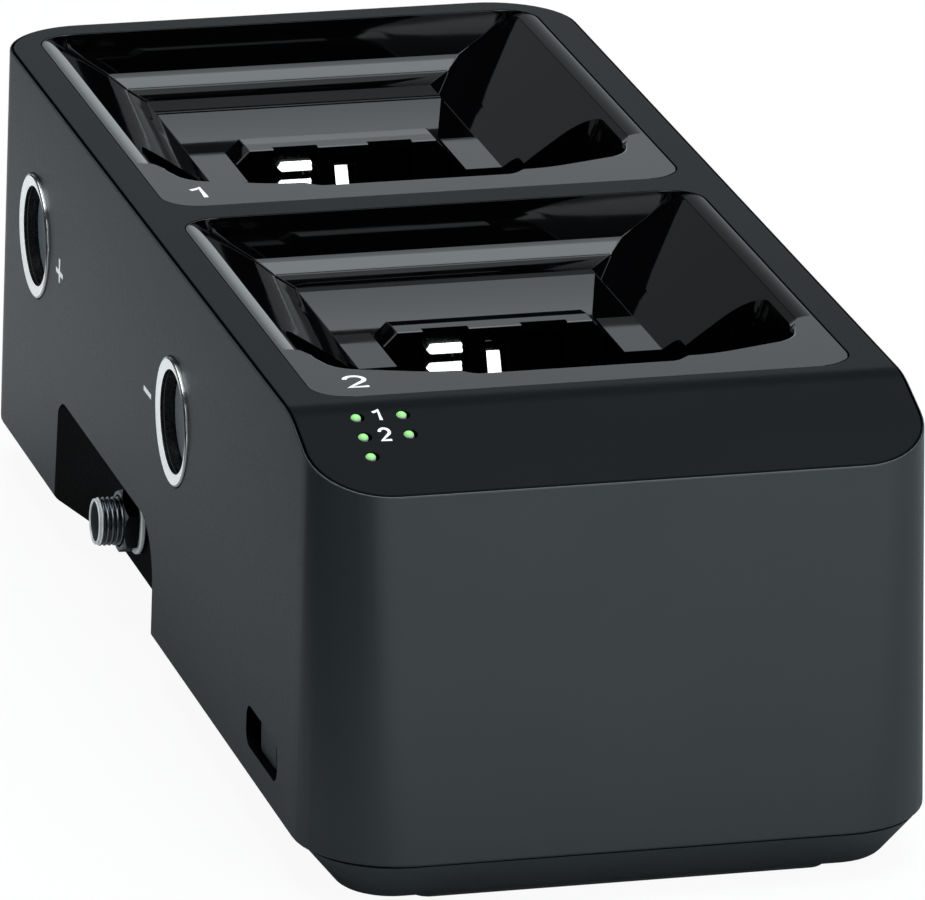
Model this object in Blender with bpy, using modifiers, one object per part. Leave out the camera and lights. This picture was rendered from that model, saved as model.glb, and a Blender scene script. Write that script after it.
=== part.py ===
"""Two-bay docking charger for wireless bodypack transmitters, as an assembly of separate pieces.

Metres, +Z up. +Y points to the rear and +X to the right. The origin lies on the floor, under the
middle of the case. Heights named *_DEPTH in a bay are measured down from the top face.
"""
import math

import bmesh
import bpy
from mathutils import Matrix, Vector

# Fits
GAP = 0.0003                    # clearance between neighbouring pieces
OVERLAP = 0.0010                # how far joined shapes and cutters run into each other
ROUND_SIDES = 40                # sides of a turned piece
CORNER_SEGMENTS = 8             # facets of a rounded corner

# Bays in the top face
BAY_COUNT = 2
BAY_WIDTH = 0.0856
BAY_LENGTH = 0.0917
BAY_CORNER = 0.0060
BAY_SPACE = 0.0063              # strip of bezel between the bays
REAR_BAY_EXTRA = 0.0055         # the rear bay is this much longer, behind its contacts
SIDE_MARGIN = 0.0057
FRONT_APRON = 0.0311            # in front of the first bay, if the front wall were upright
REAR_MARGIN = 0.0057

# Case
CASE_CORNER = 0.0143            # corner radius at the top
FRONT_CORNER_GROWTH = 0.0030    # the front corners are this much rounder at the foot
FRONT_LEAN = 0.0051             # the front wall leans back this much more than the others
CASE_HEIGHT = 0.0648            # from the foot of the wall to the top face
WALL_FOOT = 0.0077              # height of the wall's lower edge above the floor
WALL_THICKNESS = 0.0024
DRAFT_ANGLE = math.radians(1.026)
BEZEL_EDGE = 0.0010             # bezel seen above the case wall
BEZEL_THICKNESS = 0.0030
SLOPE_LENGTH = 0.0260           # front part of the bezel that falls away
SLOPE_DROP = 0.0096             # over that length, if the front wall were upright

# Well of a bay
WELL_RIM = 0.0018               # rolled rim beside the mouth
WELL_WALL = 0.0022
FLANGE_REACH = 0.0015           # rim under the bezel that holds the well
FLANGE_THICKNESS = 0.0015
LIP_LENGTH = 0.0072             # flat lip at the front of the mouth, at its middle
LIP_STEP = 0.0017               # the lip is longer beside its middle recess
LIP_RECESS_WIDTH = 0.0330
LIP_SPLAY = 0.337               # the lip's inner edge runs back this much per metre sideways
LIP_CORNER_WIDTH = 0.0042
LIP_CORNER_LENGTH = 0.0066
MOUTH_BACK_RIM = 0.0005
MOUTH_BACK_CORNER = 0.0045
HOPPER_DEPTH = 0.0112
HOPPER_FLOOR_WIDTH = 0.0490
HOPPER_FLOOR_BACK = 0.0840      # from the bay's front edge
LEDGE_DEPTH = 0.0062            # top of the rounded ledge on the back wall
LEDGE_BACK = 0.0895
LEDGE_FOOT = 0.0872
CHANNEL_WIDTH = 0.0600          # deep slot for the foot of a transmitter
CHANNEL_FRONT = 0.0130
CHANNEL_BACK = 0.0459
CHANNEL_DEPTH = 0.0300
TROUGH_DEPTH = 0.0167           # sloping floor behind the contact block, at its front
TROUGH_FLOOR_WIDTH = 0.0410
SCOOP_RADIUS = 0.0132           # finger scoop at each front corner
SCOOP_FOOT_RADIUS = 0.0105
SCOOP_DEPTH = 0.0120
SCOOP_OFFSET = 0.0265
SCOOP_CENTRE = 0.0280

# Contact block and sprung contacts
BLOCK_FRONT = 0.0555
BLOCK_LENGTH = 0.00725
BLOCK_TOP_DEPTH = 0.0090
BLOCK_TOP_WIDTH = 0.0318
BLOCK_CHAMFER = 0.0022
SLOT_WIDTH = 0.0075
SLOT_OFFSET = 0.0080
SLOT_LENGTH = 0.0046
SLOT_DEPTH = 0.0240
BLADE_SLOT_WIDTH = 0.0032
BLADE_SLOT_TOP = 0.0112
PAD_NOSE_WIDTH = 0.0059
PAD_HEIGHT = 0.0019
PAD_DEPTH = 0.0121              # middle of the upper contact
PAD_PITCH = 0.0031
BLADE_NOSE_WIDTH = 0.0020
BLADE_TOP_DEPTH = 0.0128
BLADE_HEIGHT = 0.0070
CONTACT_LENGTH = 0.0038
CONTACT_PROUD = 0.0008          # contact seen in front of the block
CONTACT_TRAVEL = 0.0010

# Base tray, screws and feet
TRAY_RISE = 0.0031              # tray inside the case, above the foot of its wall
TRAY_LEAN = 0.0043              # the tray draws in this much towards the floor
TRAY_STEP = 0.00005             # its leaning part begins this much further in
TRAY_FLOOR = 0.0023
TRAY_WALL = 0.0020
FOOT_HEIGHT = 0.0005
FOOT_GROOVE = 0.0010
FOOT_WIDTH = 0.0080
FOOT_INSET = 0.0013
FOOT_SIDE_INSET = 0.0100
BOSS_RADIUS = 0.0042
BOSS_HEIGHT = 0.0190
BOSS_WALL_DISTANCE = 0.0070
BOSS_END_DISTANCE = 0.0175
RIB_THICKNESS = 0.0030
SCREW_RADIUS = 0.0015
SCREW_LENGTH = 0.0120
SCREW_HEAD_RADIUS = 0.0027
SCREW_HEAD_HEIGHT = 0.0018

# Main board and what stands on it
BOARD_WIDTH = 0.0720
BOARD_LENGTH = 0.1840
BOARD_THICKNESS = 0.0016
BOARD_CLEARANCE = 0.0020        # main board above the jack's body
STANDOFF_RADIUS = 0.0032
STANDOFF_INSET = 0.0060
BOARD_SCREW_LENGTH = 0.0070
COIL_RADIUS = 0.0085
COIL_BORE = 0.0035
COIL_HEIGHT = 0.0070
CAPACITOR_RADIUS = 0.0050
CAPACITOR_HEIGHT = 0.0120
COIL_PLACE = 0.0095             # from the middle of the board to a coil
CAPACITOR_SPACING = 0.0130

# Status lights on the slope
LIGHT_RADIUS = 0.00085
LIGHT_ROW_PITCH = 0.0047
LIGHT_COLUMN_PITCH = 0.0071
LIGHT_SIDE = 0.0099             # first column from the left edge of the top
LIGHT_FRONT = 0.02355           # first row from an upright front wall
LIGHT_PIPE_LENGTH = 0.0095
LIGHT_BOARD_MARGIN = 0.0035
LIGHT_POST_RADIUS = 0.0015

# Round link sockets on the left wall and link pads on the right wall
LINK_REAR = 0.0350              # rear socket from the rear edge of the top
LINK_PITCH = 0.0985
LINK_HEIGHT = 0.0394            # above the foot of the wall
RING_RADIUS = 0.00975
RING_BORE = 0.00825
RING_THICKNESS = 0.0029         # through the wall to the cup behind it
RING_PROUD = 0.0005
CUP_WALL = 0.0022
CUP_LENGTH = 0.0052
CUP_FLOOR = 0.0014
DISC_THICKNESS = 0.0012
PAD_RADIUS = 0.0078
PAD_PROUD = 0.0006
PAD_FLANGE_RADIUS = 0.0100
PAD_FLANGE_THICKNESS = 0.0015

# Cable recess and supply jack in the left wall
RECESS_REAR = 0.05315           # from the rear edge of the top
RECESS_LENGTH = 0.0696
RECESS_HEIGHT = 0.0179
RECESS_REAR_CORNER = 0.0040
RECESS_FRONT_CORNER = 0.0095
RECESS_INSET = 0.0053           # depth of its inner wall at the wall's foot
RECESS_RUNOUT = 0.0240          # its rear part, where the inner wall comes out again
RECESS_WALL = 0.0020
CABLE_WAY_INSET = 0.0030        # the base is cut back behind the recess's inner wall
CABLE_WAY_REAR = 0.0120         # and past its rear end
JACK_TILT = math.radians(2.0)   # outer end upwards
JACK_FROM_FRONT = 0.0317        # from the recess's front end
JACK_HEIGHT = 0.0084            # above the foot of the wall, at the panel
JACK_RADIUS = 0.00395
JACK_BORE = 0.0029
JACK_REACH = 0.0076
JACK_THREAD_PITCH = 0.0008
JACK_THREAD_DEPTH = 0.0003
JACK_THREAD_COUNT = 5
JACK_BODY_WIDTH = 0.0090
JACK_BODY_LENGTH = 0.0100
JACK_PIN_RADIUS = 0.0010
JACK_PIN_LENGTH = 0.0130
NUT_FLATS = 0.0096
NUT_THICKNESS = 0.0022
WASHER_RADIUS = 0.0055
WASHER_THICKNESS = 0.0008

# Slide switch in the left wall
SWITCH_FRONT = 0.0358           # middle of the slot from the front edge of the top
SWITCH_HEIGHT = 0.0081          # above the foot of the wall
SWITCH_SLOT_LENGTH = 0.0200
SWITCH_SLOT_WIDTH = 0.0066
SLIDER_LENGTH = 0.0098
SLIDER_CORNER = 0.0009
SLIDER_SUNK = 0.0013            # knob below the face of the wall
SLIDER_PLATE_LENGTH = 0.0140
SLIDER_PLATE_WIDTH = 0.0090
SLIDER_PLATE_THICKNESS = 0.0012
SWITCH_BODY_WALL = 0.0018
SWITCH_BODY_DEPTH = 0.0060

# Worked out from the sizes above
CASE_WIDTH = BAY_WIDTH + 2 * SIDE_MARGIN
BAYS_LENGTH = BAY_COUNT * BAY_LENGTH + REAR_BAY_EXTRA + (BAY_COUNT - 1) * BAY_SPACE
CASE_LENGTH = FRONT_APRON + BAYS_LENGTH + REAR_MARGIN
TOP = WALL_FOOT + CASE_HEIGHT
FRONT_EDGE = -CASE_LENGTH / 2
REAR_EDGE = CASE_LENGTH / 2
SLOPE_START = FRONT_EDGE + SLOPE_LENGTH
SLOPE_ANGLE = math.atan2(SLOPE_DROP - BEZEL_EDGE, SLOPE_LENGTH)
WALL_DRAFT = math.tan(DRAFT_ANGLE)      # how far a wall leans out per metre of drop
FOOT_SPREAD = WALL_DRAFT * CASE_HEIGHT
CASE_FOOT_WIDTH = CASE_WIDTH + 2 * FOOT_SPREAD
CASE_FOOT_LENGTH = CASE_LENGTH + 2 * FOOT_SPREAD
TRAY_WIDTH = CASE_FOOT_WIDTH - 2 * (WALL_THICKNESS + GAP + WALL_DRAFT * TRAY_RISE)
FRONT_RAKE = FRONT_LEAN / CASE_HEIGHT
TRAY_LENGTH = CASE_FOOT_LENGTH - 2 * (WALL_THICKNESS + GAP + (WALL_DRAFT + FRONT_RAKE) * TRAY_RISE)
TRAY_CORNER = CASE_CORNER + FOOT_SPREAD + FRONT_CORNER_GROWTH - WALL_THICKNESS - GAP
TRAY_TOP = WALL_FOOT + TRAY_RISE
WELL_FLANGE_DEPTH = BEZEL_THICKNESS + GAP
WELL_COLLAR_DEPTH = WELL_FLANGE_DEPTH + FLANGE_THICKNESS
BLOCK_BACK = BLOCK_FRONT + BLOCK_LENGTH
POCKET_WIDTH = BLOCK_TOP_WIDTH + 2 * BLOCK_CHAMFER + 2 * GAP
BOSS_X = CASE_FOOT_WIDTH / 2 - WALL_THICKNESS - BOSS_WALL_DISTANCE
BOSS_Y = CASE_FOOT_LENGTH / 2 - BOSS_END_DISTANCE
BOARD_HEIGHT = WALL_FOOT + JACK_HEIGHT + JACK_BODY_WIDTH / 2 + BOARD_CLEARANCE
BOARD_TOP = BOARD_HEIGHT + BOARD_THICKNESS
STANDOFF_X = BOARD_WIDTH / 2 - STANDOFF_INSET
STANDOFF_Y = BOARD_LENGTH / 2 - STANDOFF_INSET
LINK_Z = WALL_FOOT + LINK_HEIGHT
LINK_ROWS = (REAR_EDGE - LINK_REAR, REAR_EDGE - LINK_REAR - LINK_PITCH)
RECESS_BACK_Y = REAR_EDGE - RECESS_REAR
RECESS_FRONT_Y = RECESS_BACK_Y - RECESS_LENGTH
RECESS_PANEL_X = -CASE_FOOT_WIDTH / 2 + RECESS_INSET
SWITCH_Y = FRONT_EDGE + SWITCH_FRONT
SWITCH_Z = WALL_FOOT + SWITCH_HEIGHT
SLOT_STRAIGHT = (SWITCH_SLOT_LENGTH - SWITCH_SLOT_WIDTH) / 2        # half of the slot between its round ends
SLIDER_TRAVEL = SLOT_STRAIGHT - SLIDER_LENGTH / 2 + SLIDER_CORNER   # to either side of the middle


def bay_front(bay):
    """The front edge of a bay; bay 1 is the rear one."""
    return FRONT_EDGE + FRONT_APRON + (BAY_COUNT - bay) * (BAY_LENGTH + BAY_SPACE)


def bay_extra(bay):
    """What a bay has more than the plain length; only the rear one has any."""
    return REAR_BAY_EXTRA if bay == 1 else 0.0


def wall_half_width(height):
    """Half the case's outer width at a height above the floor."""
    return CASE_WIDTH / 2 + WALL_DRAFT * (TOP - height)


def slope_top(y):
    """Height of the bezel's upper face."""
    return TOP - max(0.0, SLOPE_START - y) * math.tan(SLOPE_ANGLE)


# Scene and materials

def clear_scene():
    for thing in list(bpy.data.objects):
        bpy.data.objects.remove(thing, do_unlink=True)


def new_collection(name):
    collection = bpy.data.collections.new(name)
    bpy.context.scene.collection.children.link(collection)
    return collection


def new_material(name, colour, roughness, metallic=0.0):
    material = bpy.data.materials.new(name)
    material.use_nodes = True
    shader = material.node_tree.nodes["Principled BSDF"]
    shader.inputs["Base Color"].default_value = (*colour, 1.0)
    shader.inputs["Roughness"].default_value = roughness
    shader.inputs["Metallic"].default_value = metallic
    return material


clear_scene()
PARTS = new_collection("two_bay_docking_charger")
CUTTERS = new_collection("cutters")
CASE_GREY = new_material("satin_case_grey", (0.045, 0.052, 0.056), 0.5)
BEZEL_GREY = new_material("satin_bezel_grey", (0.028, 0.034, 0.037), 0.45)
GLOSS_BLACK = new_material("gloss_black", (0.010, 0.011, 0.012), 0.12)
MATT_BLACK = new_material("matt_black", (0.012, 0.013, 0.014), 0.6)
RUBBER = new_material("grey_rubber", (0.070, 0.075, 0.080), 0.8)
NICKEL = new_material("nickel_plate", (0.66, 0.66, 0.65), 0.22, 1.0)
STEEL = new_material("zinc_steel", (0.50, 0.50, 0.50), 0.35, 1.0)
COPPER_BOARD = new_material("green_board", (0.020, 0.120, 0.050), 0.5)
FERRITE = new_material("ferrite", (0.050, 0.050, 0.055), 0.7)
CAN_ALUMINIUM = new_material("can_aluminium", (0.60, 0.61, 0.62), 0.35, 1.0)
LIGHT_GREEN = new_material("light_green", (0.39, 0.80, 0.30), 0.3)


# Meshes

def mesh_object(name, bm, collection, material=None):
    """Turn a bmesh into an object; the bmesh is used up."""
    mesh = bpy.data.meshes.new(name)
    bmesh.ops.recalc_face_normals(bm, faces=bm.faces)
    bm.to_mesh(mesh)
    bm.free()
    thing = bpy.data.objects.new(name, mesh)
    collection.objects.link(thing)
    if material:
        mesh.materials.append(material)
    return thing


def part(name, bm, material):
    return mesh_object(name, bm, PARTS, material)


def tool(name, bm):
    """A shape that cuts or joins and isn't a piece itself."""
    return as_tool(mesh_object(name, bm, CUTTERS))


def as_tool(thing):
    thing.hide_render = True
    thing.display_type = "WIRE"
    return thing


def boolean(thing, other, operation):
    modifier = thing.modifiers.new(other.name, "BOOLEAN")
    modifier.object = other
    modifier.operation = operation
    modifier.solver = "EXACT"
    return thing


def cut(thing, *others):
    for other in others:
        boolean(thing, other, "DIFFERENCE")
    return thing


def join(thing, *others):
    for other in others:
        boolean(thing, other, "UNION")
    return thing


def block(low, high):
    """A box between two corners."""
    bm = bmesh.new()
    low, high = Vector(low), Vector(high)
    middle = (low + high) / 2
    bmesh.ops.create_cube(bm, size=1.0)
    bmesh.ops.scale(bm, vec=high - low, verts=bm.verts)
    bmesh.ops.translate(bm, vec=middle, verts=bm.verts)
    return bm


def rounded_block(width, length, bottom, top, radius, lean=0.0):
    """An upright prism with round corners; its foot is wider than its top by lean on every side."""
    bm = block((-width / 2, -length / 2, bottom), (width / 2, length / 2, top))
    upright = [e for e in bm.edges if abs(e.verts[0].co.z - e.verts[1].co.z) > (top - bottom) / 2]
    bmesh.ops.bevel(bm, geom=upright, offset=radius, offset_type="OFFSET", affect="EDGES",
                    segments=CORNER_SEGMENTS, profile=0.5, material=-1)
    middle = (bottom + top) / 2
    for vert in bm.verts:
        if vert.co.z < middle:
            centre = Vector((math.copysign(width / 2 - radius, vert.co.x),
                             math.copysign(length / 2 - radius, vert.co.y), vert.co.z))
            vert.co += (vert.co - centre).normalized() * lean
    return bm


def cylinder(radius, bottom, top, sides=ROUND_SIDES, foot_radius=None):
    bm = bmesh.new()
    bmesh.ops.create_cone(bm, cap_ends=True, segments=sides, radius1=foot_radius or radius, radius2=radius,
                          depth=top - bottom)
    bmesh.ops.translate(bm, vec=(0, 0, (top + bottom) / 2), verts=bm.verts)
    return bm


def moved(bm, *steps):
    """Apply turns and shifts, the first one first."""
    for step in steps:
        bmesh.ops.transform(bm, matrix=step, verts=bm.verts)
    return bm


def shift(x, y, z):
    return Matrix.Translation((x, y, z))


def turn(angle, axis):
    return Matrix.Rotation(angle, 4, axis)


TO_LEFT = turn(-math.pi / 2, "Y")     # a local +Z axis then points to -X
TO_RIGHT = turn(math.pi / 2, "Y")


def hull(points):
    bm = bmesh.new()
    for point in points:
        bm.verts.new(point)
    made = bmesh.ops.convex_hull(bm, input=bm.verts)
    inner = set(made["geom_interior"]) | set(made["geom_unused"])
    bmesh.ops.delete(bm, geom=[g for g in inner if isinstance(g, bmesh.types.BMVert)], context="VERTS")
    bmesh.ops.dissolve_limit(bm, angle_limit=math.radians(0.5), verts=bm.verts, edges=bm.edges)
    return bm


def outline(name, points, thickness):
    """A flat outline in its own XY plane, as a slab about z = 0, given back as a bmesh."""
    curve = bpy.data.curves.new(name, "CURVE")
    curve.dimensions = "2D"
    curve.fill_mode = "BOTH"
    curve.extrude = thickness / 2
    spline = curve.splines.new("POLY")
    spline.points.add(len(points) - 1)
    for point, (x, y) in zip(spline.points, points):
        point.co = (x, y, 0, 1)
    spline.use_cyclic_u = True
    thing = bpy.data.objects.new(name, curve)
    CUTTERS.objects.link(thing)
    bpy.context.view_layer.update()
    graph = bpy.context.evaluated_depsgraph_get()
    mesh = bpy.data.meshes.new_from_object(thing.evaluated_get(graph))
    bm = bmesh.new()
    bm.from_mesh(mesh)
    bmesh.ops.remove_doubles(bm, verts=bm.verts, dist=1e-6)
    bpy.data.objects.remove(thing, do_unlink=True)
    return bm


def arc(centre, radius, start, end, steps):
    """Points along an arc, angles in degrees."""
    angles = [math.radians(start + (end - start) * i / steps) for i in range(steps + 1)]
    return [(centre[0] + radius * math.cos(a), centre[1] + radius * math.sin(a)) for a in angles]


def turned(name, profile, material, sides=ROUND_SIDES):
    """A piece turned about its own Z axis from (radius, height) points, top to bottom on the outside."""
    bm = bmesh.new()
    points = [bm.verts.new((radius, 0, height)) for radius, height in profile]
    for first, second in zip(points, points[1:]):
        bm.edges.new((first, second))
    if profile[0][0] > 0:
        bm.edges.new((points[-1], points[0]))
    mesh = bpy.data.meshes.new(name)
    bm.to_mesh(mesh)
    bm.free()
    mesh.materials.append(material)
    thing = bpy.data.objects.new(name, mesh)
    PARTS.objects.link(thing)
    screw = thing.modifiers.new("turn", "SCREW")
    screw.axis = "Z"
    screw.steps = sides
    screw.render_steps = sides
    screw.use_merge_vertices = True
    screw.merge_threshold = 1e-6
    screw.use_smooth_shade = True
    return thing


def placed(thing, x, y, z, rotation=(0, 0, 0)):
    thing.location = (x, y, z)
    thing.rotation_euler = rotation
    return thing


def empty(name, location, rotation=(0, 0, 0)):
    thing = bpy.data.objects.new(name, None)
    CUTTERS.objects.link(thing)
    return placed(thing, *location, rotation)


def hang(thing, parent):
    thing.parent = parent
    return thing


# Case and bezel

def side_band(name, upper, lower):
    """The bezel's side profile between two depths below its face, run across the whole width."""
    reach = CASE_LENGTH / 2 + OVERLAP * 10
    fall = SLOPE_LENGTH + OVERLAP * 10
    low_front = TOP - fall * math.tan(SLOPE_ANGLE)
    points = [(-reach, low_front - upper), (SLOPE_START, TOP - upper), (reach, TOP - upper),
              (reach, TOP - lower), (SLOPE_START, TOP - lower), (-reach, low_front - lower)]
    bm = outline(name, points, CASE_WIDTH * 2)
    return moved(bm, turn(math.pi / 2, "X"), turn(math.pi / 2, "Z"))


def case_prism(inset, bottom, top):
    """The case's outer form, drawn in by inset, between two heights."""
    bm = rounded_block(CASE_WIDTH, CASE_LENGTH, bottom, top, CASE_CORNER)
    for vert in bm.verts:
        x, y, z = vert.co
        centre = Vector((math.copysign(CASE_WIDTH / 2 - CASE_CORNER, x),
                         math.copysign(CASE_LENGTH / 2 - CASE_CORNER, y), z))
        outward = (vert.co - centre).normalized()
        spread = WALL_DRAFT * (TOP - z) - inset
        radius = CASE_CORNER + spread
        end = CASE_LENGTH / 2 + spread
        if y < 0:
            radius += FRONT_CORNER_GROWTH * (TOP - z) / CASE_HEIGHT
            end -= FRONT_RAKE * (z - WALL_FOOT)
        centre = Vector((math.copysign(CASE_WIDTH / 2 + spread - radius, x), math.copysign(end - radius, y), z))
        vert.co = centre + outward * radius
    return bm


def recess_form(name, grow):
    """The cable recess, or with grow its housing: a notch whose inner wall leans and runs out to the rear."""
    back = RECESS_BACK_Y + grow
    front = RECESS_FRONT_Y - grow
    ceiling = WALL_FOOT + RECESS_HEIGHT + grow
    floor = WALL_FOOT - (0.0 if grow else OVERLAP * 3)
    rear_corner = RECESS_REAR_CORNER + grow
    front_corner = RECESS_FRONT_CORNER + grow
    points = [(front, floor), (back, floor)]
    points += arc((back - rear_corner, ceiling - rear_corner), rear_corner, 0, 90, CORNER_SEGMENTS)
    points += arc((front + front_corner, ceiling - front_corner), front_corner, 90, 180, CORNER_SEGMENTS)
    bm = outline(name, points, CASE_WIDTH)
    moved(bm, turn(math.pi / 2, "X"), turn(math.pi / 2, "Z"), shift(-CASE_WIDTH / 2, 0, 0))
    panel = Vector((RECESS_PANEL_X, 0, WALL_FOOT))
    lean = Vector((math.cos(JACK_TILT), 0, -math.sin(JACK_TILT)))
    runout_start = Vector((RECESS_PANEL_X, RECESS_BACK_Y - RECESS_RUNOUT, 0))
    runout = Vector((RECESS_RUNOUT, RECESS_INSET, 0)).normalized()
    outside = Vector((1, 0, 0))
    wall_middle = Vector((-wall_half_width(WALL_FOOT) + WALL_THICKNESS / 2, 0, 0))
    planes = [(panel + lean * grow, lean), (runout_start + runout * grow, runout)]
    if grow:
        planes.append((wall_middle, -outside))
    for point, normal in planes:
        edge = bmesh.ops.bisect_plane(bm, geom=bm.verts[:] + bm.edges[:] + bm.faces[:], plane_co=point,
                                      plane_no=normal, clear_outer=True)
        loop = [g for g in edge["geom_cut"] if isinstance(g, bmesh.types.BMEdge)]
        bmesh.ops.contextual_create(bm, geom=loop)
    return bm


def make_case_shell():
    shell = part("case_shell", case_prism(0.0, WALL_FOOT, TOP), CASE_GREY)
    cut(shell, tool("case_hollow", case_prism(WALL_THICKNESS, WALL_FOOT - OVERLAP, TOP + OVERLAP)))
    join(shell, tool("recess_housing", recess_form("recess_housing_outline", RECESS_WALL)))
    boss_top = TRAY_TOP + GAP + BOSS_HEIGHT
    for side in (-1, 1):
        for end in (-1, 1):
            place = shift(side * BOSS_X, end * BOSS_Y, 0)
            tag = f"{'left' if side < 0 else 'right'}_{'front' if end < 0 else 'rear'}"
            reach = side * (BOSS_WALL_DISTANCE + WALL_THICKNESS / 2)
            rib = block((min(0, reach), -RIB_THICKNESS / 2, TRAY_TOP + 2 * GAP),
                        (max(0, reach), RIB_THICKNESS / 2, boss_top - GAP))
            join(shell, tool(f"boss_rib_{tag}", moved(rib, place)))
            boss = cylinder(BOSS_RADIUS, TRAY_TOP + GAP, boss_top, 20)
            join(shell, tool(f"boss_{tag}", moved(boss, place)))
            hole = cylinder(SCREW_RADIUS + GAP, 0, boss_top - WALL_THICKNESS, 16)
            cut(shell, tool(f"boss_hole_{tag}", moved(hole, place)))
    cut(shell, tool("recess", recess_form("recess_outline", 0.0)))
    jack_hole = tool("jack_hole", cylinder(JACK_RADIUS + GAP, -4 * RECESS_WALL, RECESS_WALL, 24))
    cut(shell, hang(jack_hole, JACK_AXIS))
    for row, y in enumerate(LINK_ROWS, 1):
        wall = wall_half_width(LINK_Z)
        seat = cylinder(RING_RADIUS + GAP, wall - 3 * WALL_THICKNESS, wall + OVERLAP * 3)
        pad_bore = cylinder(PAD_RADIUS + GAP, wall - 3 * WALL_THICKNESS, wall + OVERLAP)
        cut(shell, tool(f"ring_seat_{row}", moved(seat, TO_LEFT, shift(0, y, LINK_Z))),
            tool(f"pad_bore_{row}", moved(pad_bore, TO_RIGHT, shift(0, y, LINK_Z))))
    radius = SWITCH_SLOT_WIDTH / 2
    slot = arc((SLOT_STRAIGHT, 0), radius, -90, 90, 10) + arc((-SLOT_STRAIGHT, 0), radius, 90, 270, 10)
    slot_tool = moved(outline("switch_slot_outline", slot, 6 * WALL_THICKNESS), turn(math.pi / 2, "X"),
                      turn(math.pi / 2, "Z"), shift(-wall_half_width(SWITCH_Z), SWITCH_Y, SWITCH_Z))
    cut(shell, tool("switch_slot", slot_tool))
    cut(shell, tool("above_seam", side_band("above_seam_outline", -CASE_HEIGHT, BEZEL_EDGE + GAP)))


def make_top_bezel():
    bezel = part("top_bezel", case_prism(0.0, TOP - SLOPE_DROP - 2 * BEZEL_THICKNESS, TOP), BEZEL_GREY)
    boolean(bezel, tool("bezel_band", side_band("bezel_band_outline", 0.0, BEZEL_THICKNESS)), "INTERSECT")
    rim = tool("bezel_rim", side_band("bezel_rim_outline", BEZEL_EDGE, BEZEL_EDGE + CASE_HEIGHT))
    inside = case_prism(WALL_THICKNESS + GAP, WALL_FOOT, TOP + OVERLAP)
    cut(rim, tool("bezel_inside", inside))
    cut(bezel, rim)
    for bay in range(1, BAY_COUNT + 1):
        length = BAY_LENGTH + bay_extra(bay)
        mouth = rounded_block(BAY_WIDTH, length, TOP - 2 * BEZEL_THICKNESS, TOP + OVERLAP, BAY_CORNER)
        cut(bezel, tool(f"bezel_mouth_{bay}", moved(mouth, shift(0, bay_front(bay) + length / 2, 0))))
    for index, place in enumerate(light_places(), 1):
        hole = cylinder(LIGHT_RADIUS + GAP, -3 * BEZEL_THICKNESS, OVERLAP, 16)
        cut(bezel, tool(f"light_hole_{index}", moved(hole, place)))
    for index, place in enumerate(post_places(), 1):
        post = cylinder(LIGHT_POST_RADIUS, -LIGHT_PIPE_LENGTH, -BEZEL_THICKNESS + OVERLAP, 16)
        join(bezel, tool(f"light_post_{index}", moved(post, place)))


# Status lights

def on_slope(x, y):
    """A place on the bezel's sloping face, with its local +Z square to it."""
    return shift(x, y, slope_top(y)) @ turn(SLOPE_ANGLE, "X")


def light_grid():
    """Column and row of each light: two columns of two, and one alone in the first column."""
    return [(0, 0), (1, 0), (0, 1), (1, 1), (0, 2)]


def light_place(column, row):
    x = -CASE_WIDTH / 2 + LIGHT_SIDE + column * LIGHT_COLUMN_PITCH
    y = FRONT_EDGE + LIGHT_FRONT - row * LIGHT_ROW_PITCH
    return on_slope(x, y)


def light_places():
    return [light_place(column, row) for column, row in light_grid()]


def post_places():
    """Posts that carry the light board, between and in front of the lights of the second column."""
    return [light_place(1.0, 2.0), light_place(0.5, 0.5)]


def make_lights():
    for index, place in enumerate(light_places(), 1):
        pipe = cylinder(LIGHT_RADIUS, -LIGHT_PIPE_LENGTH, 0, 16)
        part(f"light_pipe_{index}", moved(pipe, place), LIGHT_GREEN)
    margin = LIGHT_BOARD_MARGIN
    board = block((-margin, -2 * LIGHT_ROW_PITCH - margin, -LIGHT_PIPE_LENGTH - GAP - BOARD_THICKNESS),
                  (LIGHT_COLUMN_PITCH + margin, margin, -LIGHT_PIPE_LENGTH - GAP))
    part("light_board", moved(board, light_place(0, 0)), COPPER_BOARD)


# Bays

def mouth_plan(extra):
    """Half outline of the mouth's right side, from the lip's recess round to the rear."""
    half = BAY_WIDTH / 2 - WELL_RIM
    back = BAY_LENGTH + extra - MOUTH_BACK_RIM
    start_x = LIP_RECESS_WIDTH / 2
    start_y = LIP_LENGTH + LIP_STEP
    turn_x = half - LIP_CORNER_WIDTH
    turn_y = start_y + (turn_x - start_x) * LIP_SPLAY
    return [(start_x, start_y), (turn_x, turn_y), (half, turn_y + LIP_CORNER_LENGTH),
            (half, back - MOUTH_BACK_CORNER), (half - MOUTH_BACK_CORNER, back)]


def both_sides(points, z):
    """The points and their mirror images, at one height."""
    return [(x, y, z) for x, y in points] + [(-x, y, z) for x, y in points]


def hopper_points(grow, top, extra):
    """Corners of the hopper above its floor, drawn out by grow; extra is what its bay has more in length."""
    floor_half = HOPPER_FLOOR_WIDTH / 2 + grow
    mouth = [(x + grow / 2, y - grow / 2 if y < BAY_LENGTH / 2 else y) for x, y in mouth_plan(extra)]
    floor = [(floor_half, CHANNEL_FRONT + HOPPER_DEPTH - grow), (floor_half, LEDGE_FOOT + extra + grow)]
    side_run = BAY_WIDTH / 2 - WELL_RIM - HOPPER_FLOOR_WIDTH / 2
    ledge_half = floor_half + side_run * (1 - LEDGE_DEPTH / HOPPER_DEPTH)
    ledge = [(ledge_half, LEDGE_BACK + extra + grow)]
    return (both_sides(mouth, top) + both_sides(mouth, -grow / 2) + both_sides(ledge, -LEDGE_DEPTH)
            + both_sides(floor, -HOPPER_DEPTH - grow))


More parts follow.
